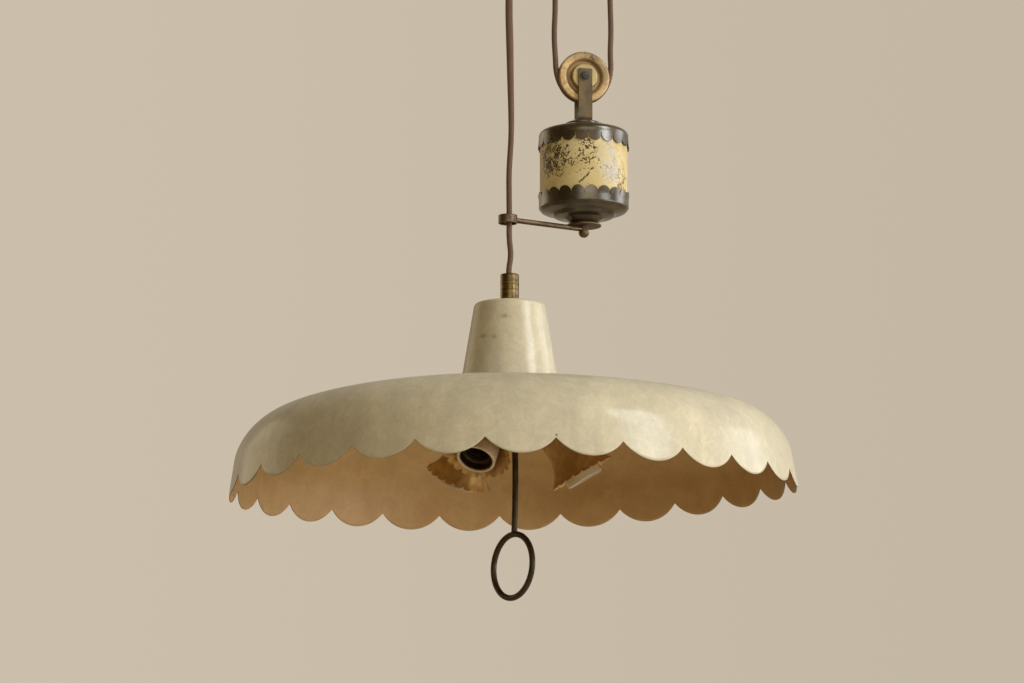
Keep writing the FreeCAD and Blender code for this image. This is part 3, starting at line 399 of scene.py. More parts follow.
def sleeve_finish(tones):
    """Yellowed lacquer with dense dark flakes on one side, branching cracks and a pale bluish-grey patch on
    the right.

    Places are given as radians round to the right of the front, and metres above the weight's middle.
    """
    graph = Graph("flaked_lacquer", roughness=0.36)
    place = graph.around(WEIGHT_AXIS)
    across, depth, height = graph.split(place)
    turn = graph.maths("ARCTAN2", across, graph.times(depth, -1))
    clouds = graph.step(graph.noise(26, 5, 0.6, 0.6), 0.34, 0.68)
    base = graph.blend(clouds, tones.sleeve, (0.55, 0.43, 0.2))
    grain = graph.noise(500, 4, 0.65)
    base = graph.shaded(base, grain, 0.9, 1.1)
    stains = graph.step(graph.noise(48, 6, 0.7, 1.0), 0.52, 0.7)
    base = graph.stained(base, stains, 0.5, (0.38, 0.23, 0.075))

    ragged = graph.between(graph.noise(70, 5, 0.7, 1.0), -1.3, 1.3)

    def patch(at_turn, at_height, wide, tall):
        """1 in the middle of a ragged oval on the sleeve, 0 outside it."""
        side = graph.maths("DIVIDE", graph.maths("SUBTRACT", turn, at_turn), wide)
        rise = graph.maths("DIVIDE", graph.maths("SUBTRACT", height, at_height), tall)
        square = graph.maths("ADD", graph.times(side, side), graph.times(rise, rise))
        return graph.step(graph.maths("ADD", square, ragged), 1.15, 0.2)

    def joined(first, second):
        return graph.maths("MAXIMUM", first, second)

    left = patch(-0.76, 0.008, 0.6, 0.026)
    middle = patch(-0.02, 0.008, 0.44, 0.021)
    edge = patch(1.05, -0.015, 0.34, 0.019)
    rear = joined(patch(2.3, 0.006, 0.5, 0.028), patch(-2.5, 0.012, 0.4, 0.02))
    swirl = graph.add("TexNoise", Vector=place, Scale=95, Detail=4).outputs["Color"]
    push = graph.vector("SCALE", graph.vector("SUBTRACT", swirl, (0.5, 0.5, 0.5)))
    push.node.inputs["Scale"].default_value = 12 * MM
    warped = graph.vector("ADD", place, push)
    cracks = graph.step(graph.cells(150, "DISTANCE_TO_EDGE", at=warped), 0.095, 0.045)
    dense = joined(left, rear)
    wide = joined(dense, joined(middle, edge))

    def thinned(noise, mask, level, fade):
        """Marks where the noise is above a level that rises by the fade outside the mask."""
        raised = graph.maths("MULTIPLY_ADD", graph.maths("SUBTRACT", mask, 1.0), fade, noise)
        return graph.step(raised, level, level + 0.014)

    leaning = graph.around(WEIGHT_AXIS, (1.25, 1.25, 0.8), (0, 0.5, 0))
    flakes = joined(thinned(graph.noise(115, 4, 0.62, 2.6, at=leaning), dense, 0.525, 0.17),
                    thinned(graph.noise(70, 5, 0.72, 2.0), dense, 0.575, 0.15))
    fine = thinned(graph.noise(300, 5, 0.7, 2.2), wide, 0.575, 0.12)
    broken = thinned(graph.noise(150, 5, 0.65, 0.4), wide, 0.45, 0.22)
    marks = joined(flakes, joined(fine, graph.times(cracks, broken)))
    scratch_low, scratch_rise = 16.3 * MM, 51 * MM
    slope = graph.maths("SUBTRACT", graph.maths("ADD", height, scratch_low), graph.times(turn, scratch_rise))
    wander = graph.times(graph.maths("SUBTRACT", graph.noise(210, 3), 0.5), 9 * MM)
    line = graph.step(graph.maths("ABSOLUTE", graph.maths("ADD", slope, wander)), 1.6 * MM, 0.8 * MM)
    line = graph.times(line, graph.step(patch(0.08, -0.0125, 0.3, 0.018), 0.1, 0.3))
    line = graph.times(line, graph.step(graph.noise(330, 4), 0.4, 0.46))
    dots = graph.specks(230, 0.17, 0.12, at=warped)
    dark = joined(marks, joined(line, dots))
    # a pale bluish-grey patch on the right side of the sleeve, broken up by noise
    patchy = graph.step(graph.noise(75, 5, 0.6, 1.0), 0.4, 0.52)
    pale = graph.times(patch(0.62, 0.002, 0.36, 0.03), patchy)
    base = graph.stained(base, pale, 0.9, (0.5, 0.48, 0.45))
    veins = graph.step(graph.cells(210, "DISTANCE_TO_EDGE", at=warped), 0.07, 0.03)
    veins = graph.times(graph.times(veins, pale), graph.step(graph.noise(120, 4), 0.45, 0.55))
    base = graph.stained(base, veins, 0.7, (0.24, 0.13, 0.055))
    # the dark marks are near black on the left and front and brown towards the right
    tint = graph.blend(graph.step(turn, 0.2, 0.7), (0.03, 0.02, 0.012), (0.2, 0.115, 0.06))
    base = graph.stained(base, dark, 0.93, tint)
    graph.bump(graph.times(dark, -1), 0.45, 0.0004)
    graph.bump(graph.noise(60, 4), 0.1, 0.0012)
    graph.set(Specular_IOR_Level=0.16)
    return graph.finish(base, graph.between(graph.noise(90, 4), 0.34, 0.5))


def cord_finish(tones):
    """Braided sleeve: two sets of slanting threads that cross, on the cord's own unrolled map."""
    graph = Graph("woven_cord", roughness=0.85)
    along, round_cord, _ = graph.split(graph.add("UVMap").outputs[0])
    per_metre, per_turn = 420, 8

    def threads(lean):
        """Waves of one set of threads, slanting to one side."""
        slant = graph.maths("ADD", graph.times(along, per_metre), graph.times(round_cord, per_turn * lean))
        return graph.maths("SINE", graph.times(slant, 2 * math.pi))

    over = graph.times(threads(1), threads(-1))
    weave = graph.between(over, 0.5, 1.0)
    fuzz = graph.noise(1500, 3, 0.7)
    clouds = graph.noise(55, 4, 0.6)
    base = graph.blend(clouds, scaled(tones.cord, 0.8), scaled(tones.cord, 1.25))
    base = graph.shaded(base, weave, 0.72, 1.12)
    base = graph.shaded(base, fuzz, 0.85, 1.15)
    graph.bump(weave, 0.5, 0.0004)
    graph.bump(fuzz, 0.2, 0.0002)
    graph.set(Sheen_Weight=0.22, Sheen_Roughness=0.4)
    return graph.finish(base)


def porcelain_finish(tones):
    """Glazed porcelain with a warm stain and fine crazing."""
    graph = Graph("stained_porcelain", roughness=0.28)
    stain = graph.step(graph.noise(60, 5, 0.65, 0.7), 0.42, 0.72)
    base = graph.blend(graph.times(stain, 0.6), tones.porcelain, (0.4, 0.29, 0.16))
    crazing = graph.step(graph.cells(330, "DISTANCE_TO_EDGE"), 0.03, 0.012)
    base = graph.stained(base, crazing, 0.3, (0.22, 0.15, 0.08))
    graph.bump(graph.noise(140, 3), 0.05, 0.0006)
    return graph.finish(base, graph.between(graph.noise(120, 4), 0.2, 0.38))


def plain_finish(name, tone, roughness, metallic=0.0):
    """Moulded or sawn surface with a fine uneven grain."""
    graph = Graph(name, metallic=metallic, roughness=roughness)
    grain = graph.noise(380, 5, 0.65)
    base = graph.shaded(tone, grain, 0.7, 1.3)
    graph.bump(grain, 0.12, 0.0005)
    return graph.finish(base, graph.between(graph.noise(100, 4), roughness - 0.08, roughness + 0.08))


def paint_nodes(material, *names):
    """Give carried-over solids a finish."""
    for name in names:
        for slot in frame["nodes"][name].material_slots:
            slot.material = material


# ---- mesh helpers ----
def linked(name, data):
    """A new object in the scene."""
    holder = bpy.data.objects.new(name, data)
    bpy.context.scene.collection.objects.link(holder)
    return holder


def baked(bm, name):
    """Turn a bmesh into a mesh."""
    mesh = bpy.data.meshes.new(name)
    bm.to_mesh(mesh)
    bm.free()
    return mesh


def new_piece(name, mesh, body, materials):
    """Turn a mesh into a piece that rides on a body and has its finishes."""
    for material in materials:
        mesh.materials.append(material)
    mesh.polygons.foreach_set("use_smooth", [True] * len(mesh.polygons))
    piece = linked(name, mesh)
    if body:
        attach(piece, body)
    return piece


def outline(bm, corners):
    """A wire outline in the XZ plane; each corner is (r, z, rounding reach, steps)."""
    verts = [bm.verts.new((r, 0, z)) for r, z, _, _ in corners]
    for first, second in zip(verts, verts[1:]):
        bm.edges.new((first, second))
    for vert, (_, _, reach, steps) in zip(verts, corners):
        if reach:
            bmesh.ops.bevel(bm, geom=[vert], offset=reach, offset_type="OFFSET", segments=steps,
                            profile=0.5, affect="VERTICES", material=-1, clamp_overlap=False)
    return bm


def spun(bm, steps, phase=0.0):
    """Spin everything in a mesh once round its Z axis."""
    bmesh.ops.rotate(bm, cent=(0, 0, 0), matrix=Matrix.Rotation(phase, 3, "Z"), verts=bm.verts[:])
    bmesh.ops.spin(bm, geom=bm.verts[:] + bm.edges[:], cent=(0, 0, 0), axis=(0, 0, 1),
                   angle=2 * math.pi, steps=steps, use_merge=True)
    bmesh.ops.remove_doubles(bm, verts=bm.verts[:], dist=1e-6)
    bmesh.ops.recalc_face_normals(bm, faces=bm.faces[:])
    return bm


def scalloped(bm, count, phase, radius, depth, start, tip, slope):
    """Pull the rim's rows back so that its edge runs in round lobes; slope is run per rise of the wall."""
    half = math.pi / count
    chord = radius * math.sin(half)
    lobe = (chord ** 2 + depth ** 2) / (2 * depth)
    for vert in bm.verts:
        reach = (vert.co.z - start) / (tip - start)
        if reach <= 0:
            continue
        turn = (math.atan2(vert.co.y, vert.co.x) - phase) % (2 * half) - half
        away = min(abs(radius * math.sin(turn)), chord)
        lift = (lobe - math.sqrt(lobe ** 2 - away ** 2)) * reach ** 1.5
        vert.co -= Vector((vert.co.x, vert.co.y, 0)).normalized() * lift * slope
        vert.co.z += lift if tip < start else -lift


def solid_sheet(piece, thickness, inner=0, rim=0, offset=-1.0):
    """Give a sheet its thickness, with a material index step for the inner face and the edge."""
    wall = piece.modifiers.new("sheet", "SOLIDIFY")
    wall.thickness = thickness
    wall.offset = offset
    wall.use_even_offset = True
    wall.material_offset = inner
    wall.material_offset_rim = rim


# ---- cord ----
def spline_curve(name, points, bevel):
    """A NURBS curve whose control points are the route's points."""
    curve = bpy.data.curves.new(name, "CURVE")
    curve.dimensions = "3D"
    spline = curve.splines.new("NURBS")
    spline.points.add(len(points) - 1)
    for place, point in zip(spline.points, points):
        place.co = (*point, 1)
    spline.order_u = 3
    spline.use_endpoint_u = True
    curve.resolution_u = 24
    curve.bevel_depth = bevel
    curve.bevel_resolution = 5
    return linked(name, curve)


def curve_mesh(holder):
    """Turn a curve into a mesh and take the curve away."""
    bpy.context.view_layer.update()
    mesh = bpy.data.meshes.new_from_object(holder.evaluated_get(bpy.context.evaluated_depsgraph_get()))
    bpy.data.objects.remove(holder)
    return mesh


def path_length(path):
    return sum((second - first).length for first, second in zip(path, path[1:]))


def cord_piece(name, points, material, diameter, body, start_at, widen):
    """A round tube along the route's spline; returns the piece and the line it follows."""
    line = curve_mesh(spline_curve(name + "_line", points, 0))
    path = [vert.co.copy() for vert in line.vertices]
    tube = curve_mesh(spline_curve(name + "_tube", points, diameter / 2))
    reach = path_length(path)
    for spot in tube.uv_layers[0].data:
        spot.uv.x = start_at + spot.uv.x * reach
    if widen:
        for vert in tube.vertices:
            nearest = min(path, key=lambda place: abs(place.z - vert.co.z))
            factor = widen(vert.co.z)
            vert.co.x = nearest.x + (vert.co.x - nearest.x) * factor
            vert.co.y = nearest.y + (vert.co.y - nearest.y) / math.sqrt(factor)
    piece = new_piece(name, tube, body, [material])
    return piece, path, reach


def corner_points(centre, direction, radius, start, end, corners):
    """Corners of the outline that touches a wheel's cord circle at even steps from start to end."""
    each = math.radians(end - start) / corners
    reach = radius / math.cos(each / 2)
    points = []
    for index in range(corners):
        angle = math.radians(start) + each * (index + 0.5)
        points.append(centre + direction * (reach * math.cos(angle)) + Vector((0, 0, reach * math.sin(angle))))
    return points


class PENDANT_OT_cord(bpy.types.Operator):
    """Make the one cord as five lengths; the lengths over and under the wheels ride on the ceiling and the
    counterweight
    """
    bl_idname = "pendant.cord"
    bl_label = "Cord"

    def execute(self, context):
        sizes = context.scene.pendant_sizes
        woven = cord_finish(context.scene.pendant_colours)
        thick = sizes.cord
        pulley_z = PULLEY_CENTRE.z
        top = Vector((SHADE_AXIS.x, SHADE_AXIS.y, pulley_z))
        left_top = Vector((LEFT_AXIS.x, LEFT_AXIS.y, pulley_z))
        wheel_way = (left_top - top).normalized()
        wheel_radius = (left_top - top).length / 2

        def at(axis, height, aside=0.0, way=Vector((1, 0, 0))):
            return Vector((axis.x, axis.y, height)) + way * aside

        laid = 0.0

        def lay(name, route, nodes, body=None, moves=None, widen=None):
            """Lay the next length of cord; moves names its lower body and the ends of its stretch, but only
            bakes the piece's placing into its mesh.
            """
            nonlocal laid
            piece, path, used = cord_piece(name, route, woven, thick, body, laid, widen)
            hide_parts(*nodes)
            if moves:
                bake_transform(piece)
            laid += used

        # from the cluster up through the neck, the coupler and the guide ring to the pulley:
        # each point is a height and how far it stands to the right of the cord's upright line
        wobble = [
            (-0.593, 0), (-0.545, 0), (-0.52, -0.0006), (-0.509, -0.001), (-0.4935, 0.0016),
            (-0.476, -0.0006), (-0.455, -0.0003), (-0.43, -0.0006), (-0.405, -0.0008), (-0.385, 0.0004),
            (-0.362, 0.0018), (-0.335, 0.0017), (-0.3, 0.0008), (-0.26, 0.0002), (-0.225, -0.0009),
            (-0.18, 0), (-0.13, 0), (pulley_z, 0)]
        route = [at(SHADE_AXIS, height, aside) for height, aside in wobble]
        flat_low, flat_high = -0.36, -0.11

        def flattened(height):
            """How much wider the cord is at a height, growing over 100 mm and ending over 60 mm."""
            rise = min(max((height - flat_low) / 0.1, 0), 1)
            fall = min(max((flat_high - height) / 0.06, 0), 1)
            return 1 + (sizes.cord_wide - 1) * rise * fall

        lay("cord_to_shade", route, ("cord_shade_strand", "cord_neck_run"),
            moves=("shade", at(SHADE_AXIS, pulley_z - 0.01), at(SHADE_AXIS, -0.5)), widen=flattened)

        # over the pulley under the ceiling
        route = [top, *corner_points(PULLEY_CENTRE, wheel_way, wheel_radius, 180, 0, 4), left_top]
        lay("cord_over_wheel", route, ("cord_over_pulley",), "ceiling")

        # down to the counterweight's wheel
        foot_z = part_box("cord_left_strand")[0][2]
        way = RIGHT_AXIS - LEFT_AXIS
        way.z = 0
        way.normalize()
        bulge = [(pulley_z, 0), (-0.13, -0.0008), (-0.185, -0.0006), (-0.212, -0.0002), (-0.236, -0.0016),
                 (-0.255, -0.001), (foot_z, 0)]
        route = [at(LEFT_AXIS, height, aside, way) for height, aside in bulge]
        lay("cord_to_weight", route, ("cord_left_strand",),
            moves=("counterweight", left_top, at(LEFT_AXIS, foot_z)))

        # under the counterweight's wheel
        spread = (RIGHT_AXIS - LEFT_AXIS).length / 2
        pitch = 26.4 * MM
        lift = math.radians(30)
        spring = (spread - pitch * math.cos(lift)) / (1 - math.cos(lift))
        corner_z = foot_z - spring * math.tan(lift / 2)
        route = [at(LEFT_AXIS, foot_z), at(LEFT_AXIS, corner_z),
                 *corner_points(SHEAVE_CENTRE, way, pitch, 210, 330, 3),
                 at(RIGHT_AXIS, corner_z), at(RIGHT_AXIS, foot_z)]
        lay("cord_under_wheel", route, ("cord_under_sheave",), "counterweight")

        # up into the grip at the ceiling and on to the terminal block
        grip_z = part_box("cord_right_strand")[1][2]
        inward = Vector((-RIGHT_AXIS.x, -RIGHT_AXIS.y, 0)).normalized()
        feed_z = -17 * MM
        bulge = [(foot_z, 0), (-0.258, -0.0008), (-0.236, 0.0006), (-0.205, -0.0002), (-0.16, -0.0013),
                 (-0.115, -0.0012), (grip_z, 0), (-0.04, 0), (-0.028, 0), (feed_z, 0)]
        route = [at(RIGHT_AXIS, height, aside, way) for height, aside in bulge]
        route += [at(RIGHT_AXIS, feed_z, inside, inward) for inside in (12 * MM, 28.5 * MM)]
        lay("cord_to_grip", route, ("cord_right_strand", "cord_feed"),
            moves=("counterweight", at(RIGHT_AXIS, grip_z - 0.002), at(RIGHT_AXIS, foot_z)))
        return {"FINISHED"}


# ---- shade ----
class PENDANT_OT_shade(bpy.types.Operator):
    """Spin the scalloped shade as one thin sheet, and enamel its neck"""
    bl_idname = "pendant.shade"
    bl_label = "Shade"

    def hang(self, bm, rim, sizes):
        """Lean the dish a little, as it hangs, and bend its thin rim gently out of true.

        The dish stays true within 50 mm of its axis and follows the lean fully beyond 110 mm.
        """
        true_to, blend_over, shift = 50 * MM, 60 * MM, 1.06 * MM
        for vert in bm.verts:
            radius = math.hypot(vert.co.x, vert.co.y)
            turn = math.atan2(vert.co.y, vert.co.x)
            share = radius / rim
            free = min(max((radius - true_to) / blend_over, 0), 1)
            free = free * free * (3 - 2 * free)
            below = vert.co.z - DOME_Z
            drift = (-0.3 * math.cos(turn) + 0.6 * math.sin(turn)
                     - 0.4 * math.cos(2 * turn) - 0.15 * math.sin(2 * turn))
            swung = turn + math.radians(drift) * share ** 4
            oval = 0.9 * math.sin(2 * turn) + 1.3 * math.cos(3 * turn) + 0.7 * math.sin(3 * turn)
            radius += oval * MM * share ** 3
            wave = (-0.33 * math.cos(2 * turn) + math.sin(2 * turn)
                    + 0.38 * math.cos(3 * turn) + math.sin(3 * turn))
            across, depth = radius * math.cos(swung), radius * math.sin(swung)
            vert.co.x = across + free * (shift - below * sizes.lean_right)
            vert.co.y = depth - free * below * sizes.lean_back
            vert.co.z += free * (across * sizes.lean_right + depth * sizes.lean_back)
            vert.co.z += wave * sizes.dent * share ** 2

    def execute(self, context):
        tones = context.scene.pendant_colours
        enamel = enamel_finish(tones)
        bm = bmesh.new()
        rim = Vector((298.3 * MM, RIM_Z))
        shoulder = Vector((285.1 * MM, DOME_Z - 33.2 * MM))
        lobe_depth = 16.4 * MM
        plain, rows = 0.57, 12
        corners = [(44 * MM, DOME_Z, 0, 0), (58 * MM, DOME_Z, 0.2 * MM, 3),
                   (140 * MM, DOME_Z - 9.7 * MM, 15 * MM, 8), (*shoulder, 45.4 * MM, 30)]
        skirt = rim - shoulder
        for row in range(rows + 1):
            corners.append((*(shoulder + skirt * (plain + (1 - plain) * row / rows)), 0, 0))
        outline(bm, corners)
        spun(bm, SCALLOPS * 18, FIRST_SCALLOP)
        for face in bm.faces:
            if face.normal.z < 0 and face.calc_center_median().z > DOME_Z - 0.02:
                bmesh.ops.reverse_faces(bm, faces=bm.faces[:])
                break
        start = shoulder.y + skirt.y * plain
        scalloped(bm, SCALLOPS, FIRST_SCALLOP, rim.x, lobe_depth, start, rim.y, -skirt.x / skirt.y)
        self.hang(bm, rim.x, context.scene.pendant_sizes)
        bmesh.ops.translate(bm, verts=bm.verts[:], vec=(SHADE_AXIS.x, SHADE_AXIS.y, 0))
        materials = [enamel, lining_finish(tones), edge_finish()]
        bowl = new_piece("shade_bowl", baked(bm, "shade_bowl"), "shade", materials)
        solid_sheet(bowl, context.scene.pendant_sizes.shade_sheet, inner=1, rim=2)
        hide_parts("shade_dish")
        paint_nodes(enamel, "shade_neck")
        return {"FINISHED"}


# ---- sockets ----
class PENDANT_OT_sockets(bpy.types.Operator):
    """Make the fluted cups and the threaded shells of the three sockets, and finish the porcelain"""
    bl_idname = "pendant.sockets"
    bl_label = "Sockets"

    def aimed(self, bm, name):
        """The mesh of what is modelled along +Z, turned onto a socket's axis."""
        turn = Vector((0, 0, 1)).rotation_difference(SOCKET_WAYS[name[-1]]).to_matrix().to_4x4()
        bmesh.ops.transform(bm, matrix=Matrix.Translation(CLUSTER) @ turn, verts=bm.verts[:])
        return baked(bm, name)

    def cup(self, flute):
        """A straight cup with a flared edge, cut in lobes and fluted; the cluster is at the origin."""
        rim = SOCKET_REACH - 6.0 * MM
        back = rim - 62.0 * MM
        inside, bore = 22 * MM, 5.2 * MM
        flare_out, flare_up = 13.3 * MM, 13.4 * MM
        lobes, lobe_depth = 20, 3.6 * MM
        flute_depth = 18 * MM
        bm = bmesh.new()
        corners = [(bore, back, 0, 0), (inside, back, 7.9 * MM, 8), (inside, rim - flare_up, 15.8 * MM, 20)]
        plain, steps = 0.955, 5
        for step in range(steps + 1):
            share = plain + (1 - plain) * step / steps
            corners.append((inside + flare_out * share, rim - flare_up * (1 - share), 0, 0))
        outline(bm, corners)
        spun(bm, lobes * 12)
        scalloped(bm, lobes, 0.0, inside + flare_out, lobe_depth, rim - 12 * MM, rim, 0.7)
        for vert in bm.verts:
            reach = (vert.co.z - (rim - flute_depth)) / flute_depth
            if reach > 0:
                turn = math.atan2(vert.co.y, vert.co.x)
                push = -flute * math.cos(lobes * turn) * min(reach, 1) ** 1.5
                way = Vector((vert.co.x, vert.co.y, 0)).normalized()
                vert.co += way * push * 0.6
                vert.co.z -= push * 0.8
        return bm

    def shell(self, pitch):
        """A rolled thread cut level at both ends, under a plain lining with shallow steps."""
        high = SOCKET_REACH - 10.0 * MM
        low = high - 24.0 * MM
        radius, depth = 13.3 * MM, 0.42 * MM
        per_turn = 12
        turns = int((high - low) / pitch) + 3
        bm = bmesh.new()
        verts = []
        for index in range(turns * per_turn + 1):
            height = low - pitch * 1.5 + pitch * index / per_turn
            ripple = depth * math.cos(2 * math.pi * index / per_turn)
            verts.append(bm.verts.new((radius + ripple, 0, height)))
        for first, second in zip(verts, verts[1:]):
            bm.edges.new((first, second))
        steps = 48
        bmesh.ops.spin(bm, geom=bm.verts[:] + bm.edges[:], cent=(0, 0, 0), axis=(0, 0, 1),
                       dvec=(0, 0, pitch / steps), angle=2 * math.pi, steps=steps, use_merge=False)
        bmesh.ops.remove_doubles(bm, verts=bm.verts[:], dist=2e-6)
        for height, clear in ((low + 0.5 * MM, -1), (high, 1)):
            bmesh.ops.bisect_plane(bm, geom=bm.verts[:] + bm.edges[:] + bm.faces[:], plane_co=(0, 0, height),
                                   plane_no=(0, 0, clear), clear_outer=True)
        skirt = bmesh.new()
        seat = high + 0.5 * MM
        corners = [(13.4 * MM, seat, 0, 0), (16.8 * MM, seat, 0, 0)]
        for step in range(6):
            corners.append(((17.0 if step % 2 else 16.6) * MM, high + (1.6 + 1.4 * step) * MM, 0, 0))
        spun(outline(skirt, corners), steps)
        lining = baked(skirt, "lining")
        bm.from_mesh(lining)
        bpy.data.meshes.remove(lining)
        bmesh.ops.recalc_face_normals(bm, faces=bm.faces[:])
        return bm

    def execute(self, context):
        tones = context.scene.pendant_colours
        sizes = context.scene.pendant_sizes
        brass = metal_finish("cup_brass", (0.68, 0.44, 0.17), (0.38, 0.235, 0.09), 0.45, 0.36,
                             wear=(0.56, 0.4, 0.19))
        # The shells and centre contacts are brass darkened to near black: painted shade deep inside the
        # sockets.
        shaded_brass = metal_finish("shell_brass", (0.11, 0.06, 0.03), (0.035, 0.02, 0.012), 0.6, 0.45)
        porcelain = porcelain_finish(tones)
        for name in SOCKET_WAYS:
            label = "fluted_cup_" + name
            cup = new_piece(label, self.aimed(self.cup(sizes.flute), label), "shade", [brass])
            solid_sheet(cup, sizes.cup_sheet)
            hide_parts("socket_cup_" + name)
            label = "threaded_shell_" + name
            thread = self.aimed(self.shell(sizes.thread_pitch), label)
            shell = new_piece(label, thread, "shade", [shaded_brass])
            solid_sheet(shell, 0.35 * MM, offset=0.0)
            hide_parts("screw_shell_" + name)
            paint_nodes(porcelain, "socket_body_" + name)
            paint_nodes(shaded_brass, "centre_contact_" + name)
            paint_nodes(brass, "socket_arm_" + name)
        paint_nodes(plain_finish("lead_rubber", (0.05, 0.04, 0.035), 0.6), "socket_leads")
        paint_nodes(brass, "cluster_body")
        return {"FINISHED"}


# ---- fittings on the shade ----
class PENDANT_OT_fittings(bpy.types.Operator):
    """Finish the coupler, the nipple and its nuts, the pull rod and its ring"""
    bl_idname = "pendant.fittings"
    bl_label = "Fittings"

    def execute(self, context):
        tones = context.scene.pendant_colours
        brass = metal_finish("turned_brass", tones.brass, (0.1, 0.07, 0.03), 0.95, 0.33,
                             axis=SHADE_AXIS, lines=0.9, wear=(0.42, 0.33, 0.17))
        paint_nodes(brass, "coupler", "neck_nipple", "neck_nuts")
        paint_nodes(plain_finish("zinc_plate", (0.45, 0.45, 0.43), 0.4, 0.9), "neck_washer")
        blued = metal_finish("blued_steel", (0.1, 0.098, 0.095), (0.03, 0.03, 0.032), 0.9, 0.36)
        paint_nodes(blued, "coupler_screw")
        black = metal_finish("brown_black_rod", (0.07, 0.044, 0.02), (0.028, 0.018, 0.008), 0.45, 0.42,
                             wear=(0.12, 0.085, 0.05))
        paint_nodes(black, "pull_rod", "pull_ring")
        return {"FINISHED"}


# ---- counterweight ----
class PENDANT_OT_counterweight(bpy.types.Operator):
    """Finish the counterweight, its caps, its flaked sleeve, its yoke and its guide arm"""
    bl_idname = "pendant.counterweight"
    bl_label = "Counterweight"

    def execute(self, context):
        tones = context.scene.pendant_colours
        bronze = metal_finish("dark_bronze", tones.bronze, (0.03, 0.02, 0.01), 0.4, 0.3,
                              wear=(0.2, 0.155, 0.085), Coat_Weight=0.7, Coat_Roughness=0.25, Coat_IOR=1.6)
        paint_nodes(bronze, "weight_top_cap", "weight_bottom_cap", "weight_boss")
        paint_nodes(sleeve_finish(tones), "weight_sleeve")
        paint_nodes(plain_finish("rough_iron", (0.16, 0.15, 0.14), 0.7, 0.7), "weight_core")
        brown = metal_finish("brown_brass", (0.17, 0.115, 0.07), (0.075, 0.05, 0.03), 0.75, 0.4,
                             wear=(0.34, 0.27, 0.19))
        paint_nodes(brown, "guide_arm", "guide_ring", "ball_finial", "washer_disc")
        strap = metal_finish("olive_strap", tones.strap, (0.08, 0.056, 0.026), 0.3, 0.55,
                             wear=(0.24, 0.185, 0.1))
        paint_nodes(strap, "weight_yoke", "ceiling_hanger")
        steel = metal_finish("dark_nut", (0.13, 0.13, 0.125), (0.04, 0.04, 0.042), 0.9, 0.34)
        paint_nodes(steel, "sheave_axle", "sheave_axle_nut", "weight_bolt", "ceiling_axle", "ceiling_axle_nut",
                    "anchor_screw")
        groove = 1.8 * MM
        wheels = (("sheave", SHEAVE_CENTRE, LEFT_AXIS, RIGHT_AXIS),
                  ("ceiling_pulley", PULLEY_CENTRE, SHADE_AXIS, LEFT_AXIS))
        for name, centre, first, second in wheels:
            run = second - first
            way = Vector((-run.y, run.x, 0)).normalized()
            pitch = (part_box(name)[1][2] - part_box(name)[0][2]) / 2 - groove
            paint_nodes(gilt_finish(tones, "chipped_gilt_" + name, centre, way, pitch), name)
        return {"FINISHED"}


# ---- ceiling ----
class PENDANT_OT_ceiling(bpy.types.Operator):
    """Finish the canopy, the bar, the grip and the terminal block"""
    bl_idname = "pendant.ceiling"
    bl_label = "Ceiling fitting"

    def execute(self, context):
        tones = context.scene.pendant_colours
        canopy = metal_finish("canopy_bronze", tones.bronze, (0.055, 0.045, 0.03), 0.65, 0.4,
                              patches=24, wear=(0.2, 0.165, 0.1))
        paint_nodes(canopy, "ceiling_canopy")
        brass = metal_finish("grip_brass", tones.brass, (0.1, 0.07, 0.03), 0.95, 0.34,
                             axis=RIGHT_AXIS, lines=0.3)
        paint_nodes(brass, "cord_anchor", "block_screws")
        paint_nodes(plain_finish("bar_zinc", (0.42, 0.42, 0.4), 0.42, 0.9), "ceiling_bar", "stud_nuts")
        paint_nodes(plain_finish("block_resin", (0.03, 0.028, 0.026), 0.45), "terminal_block")
        return {"FINISHED"}


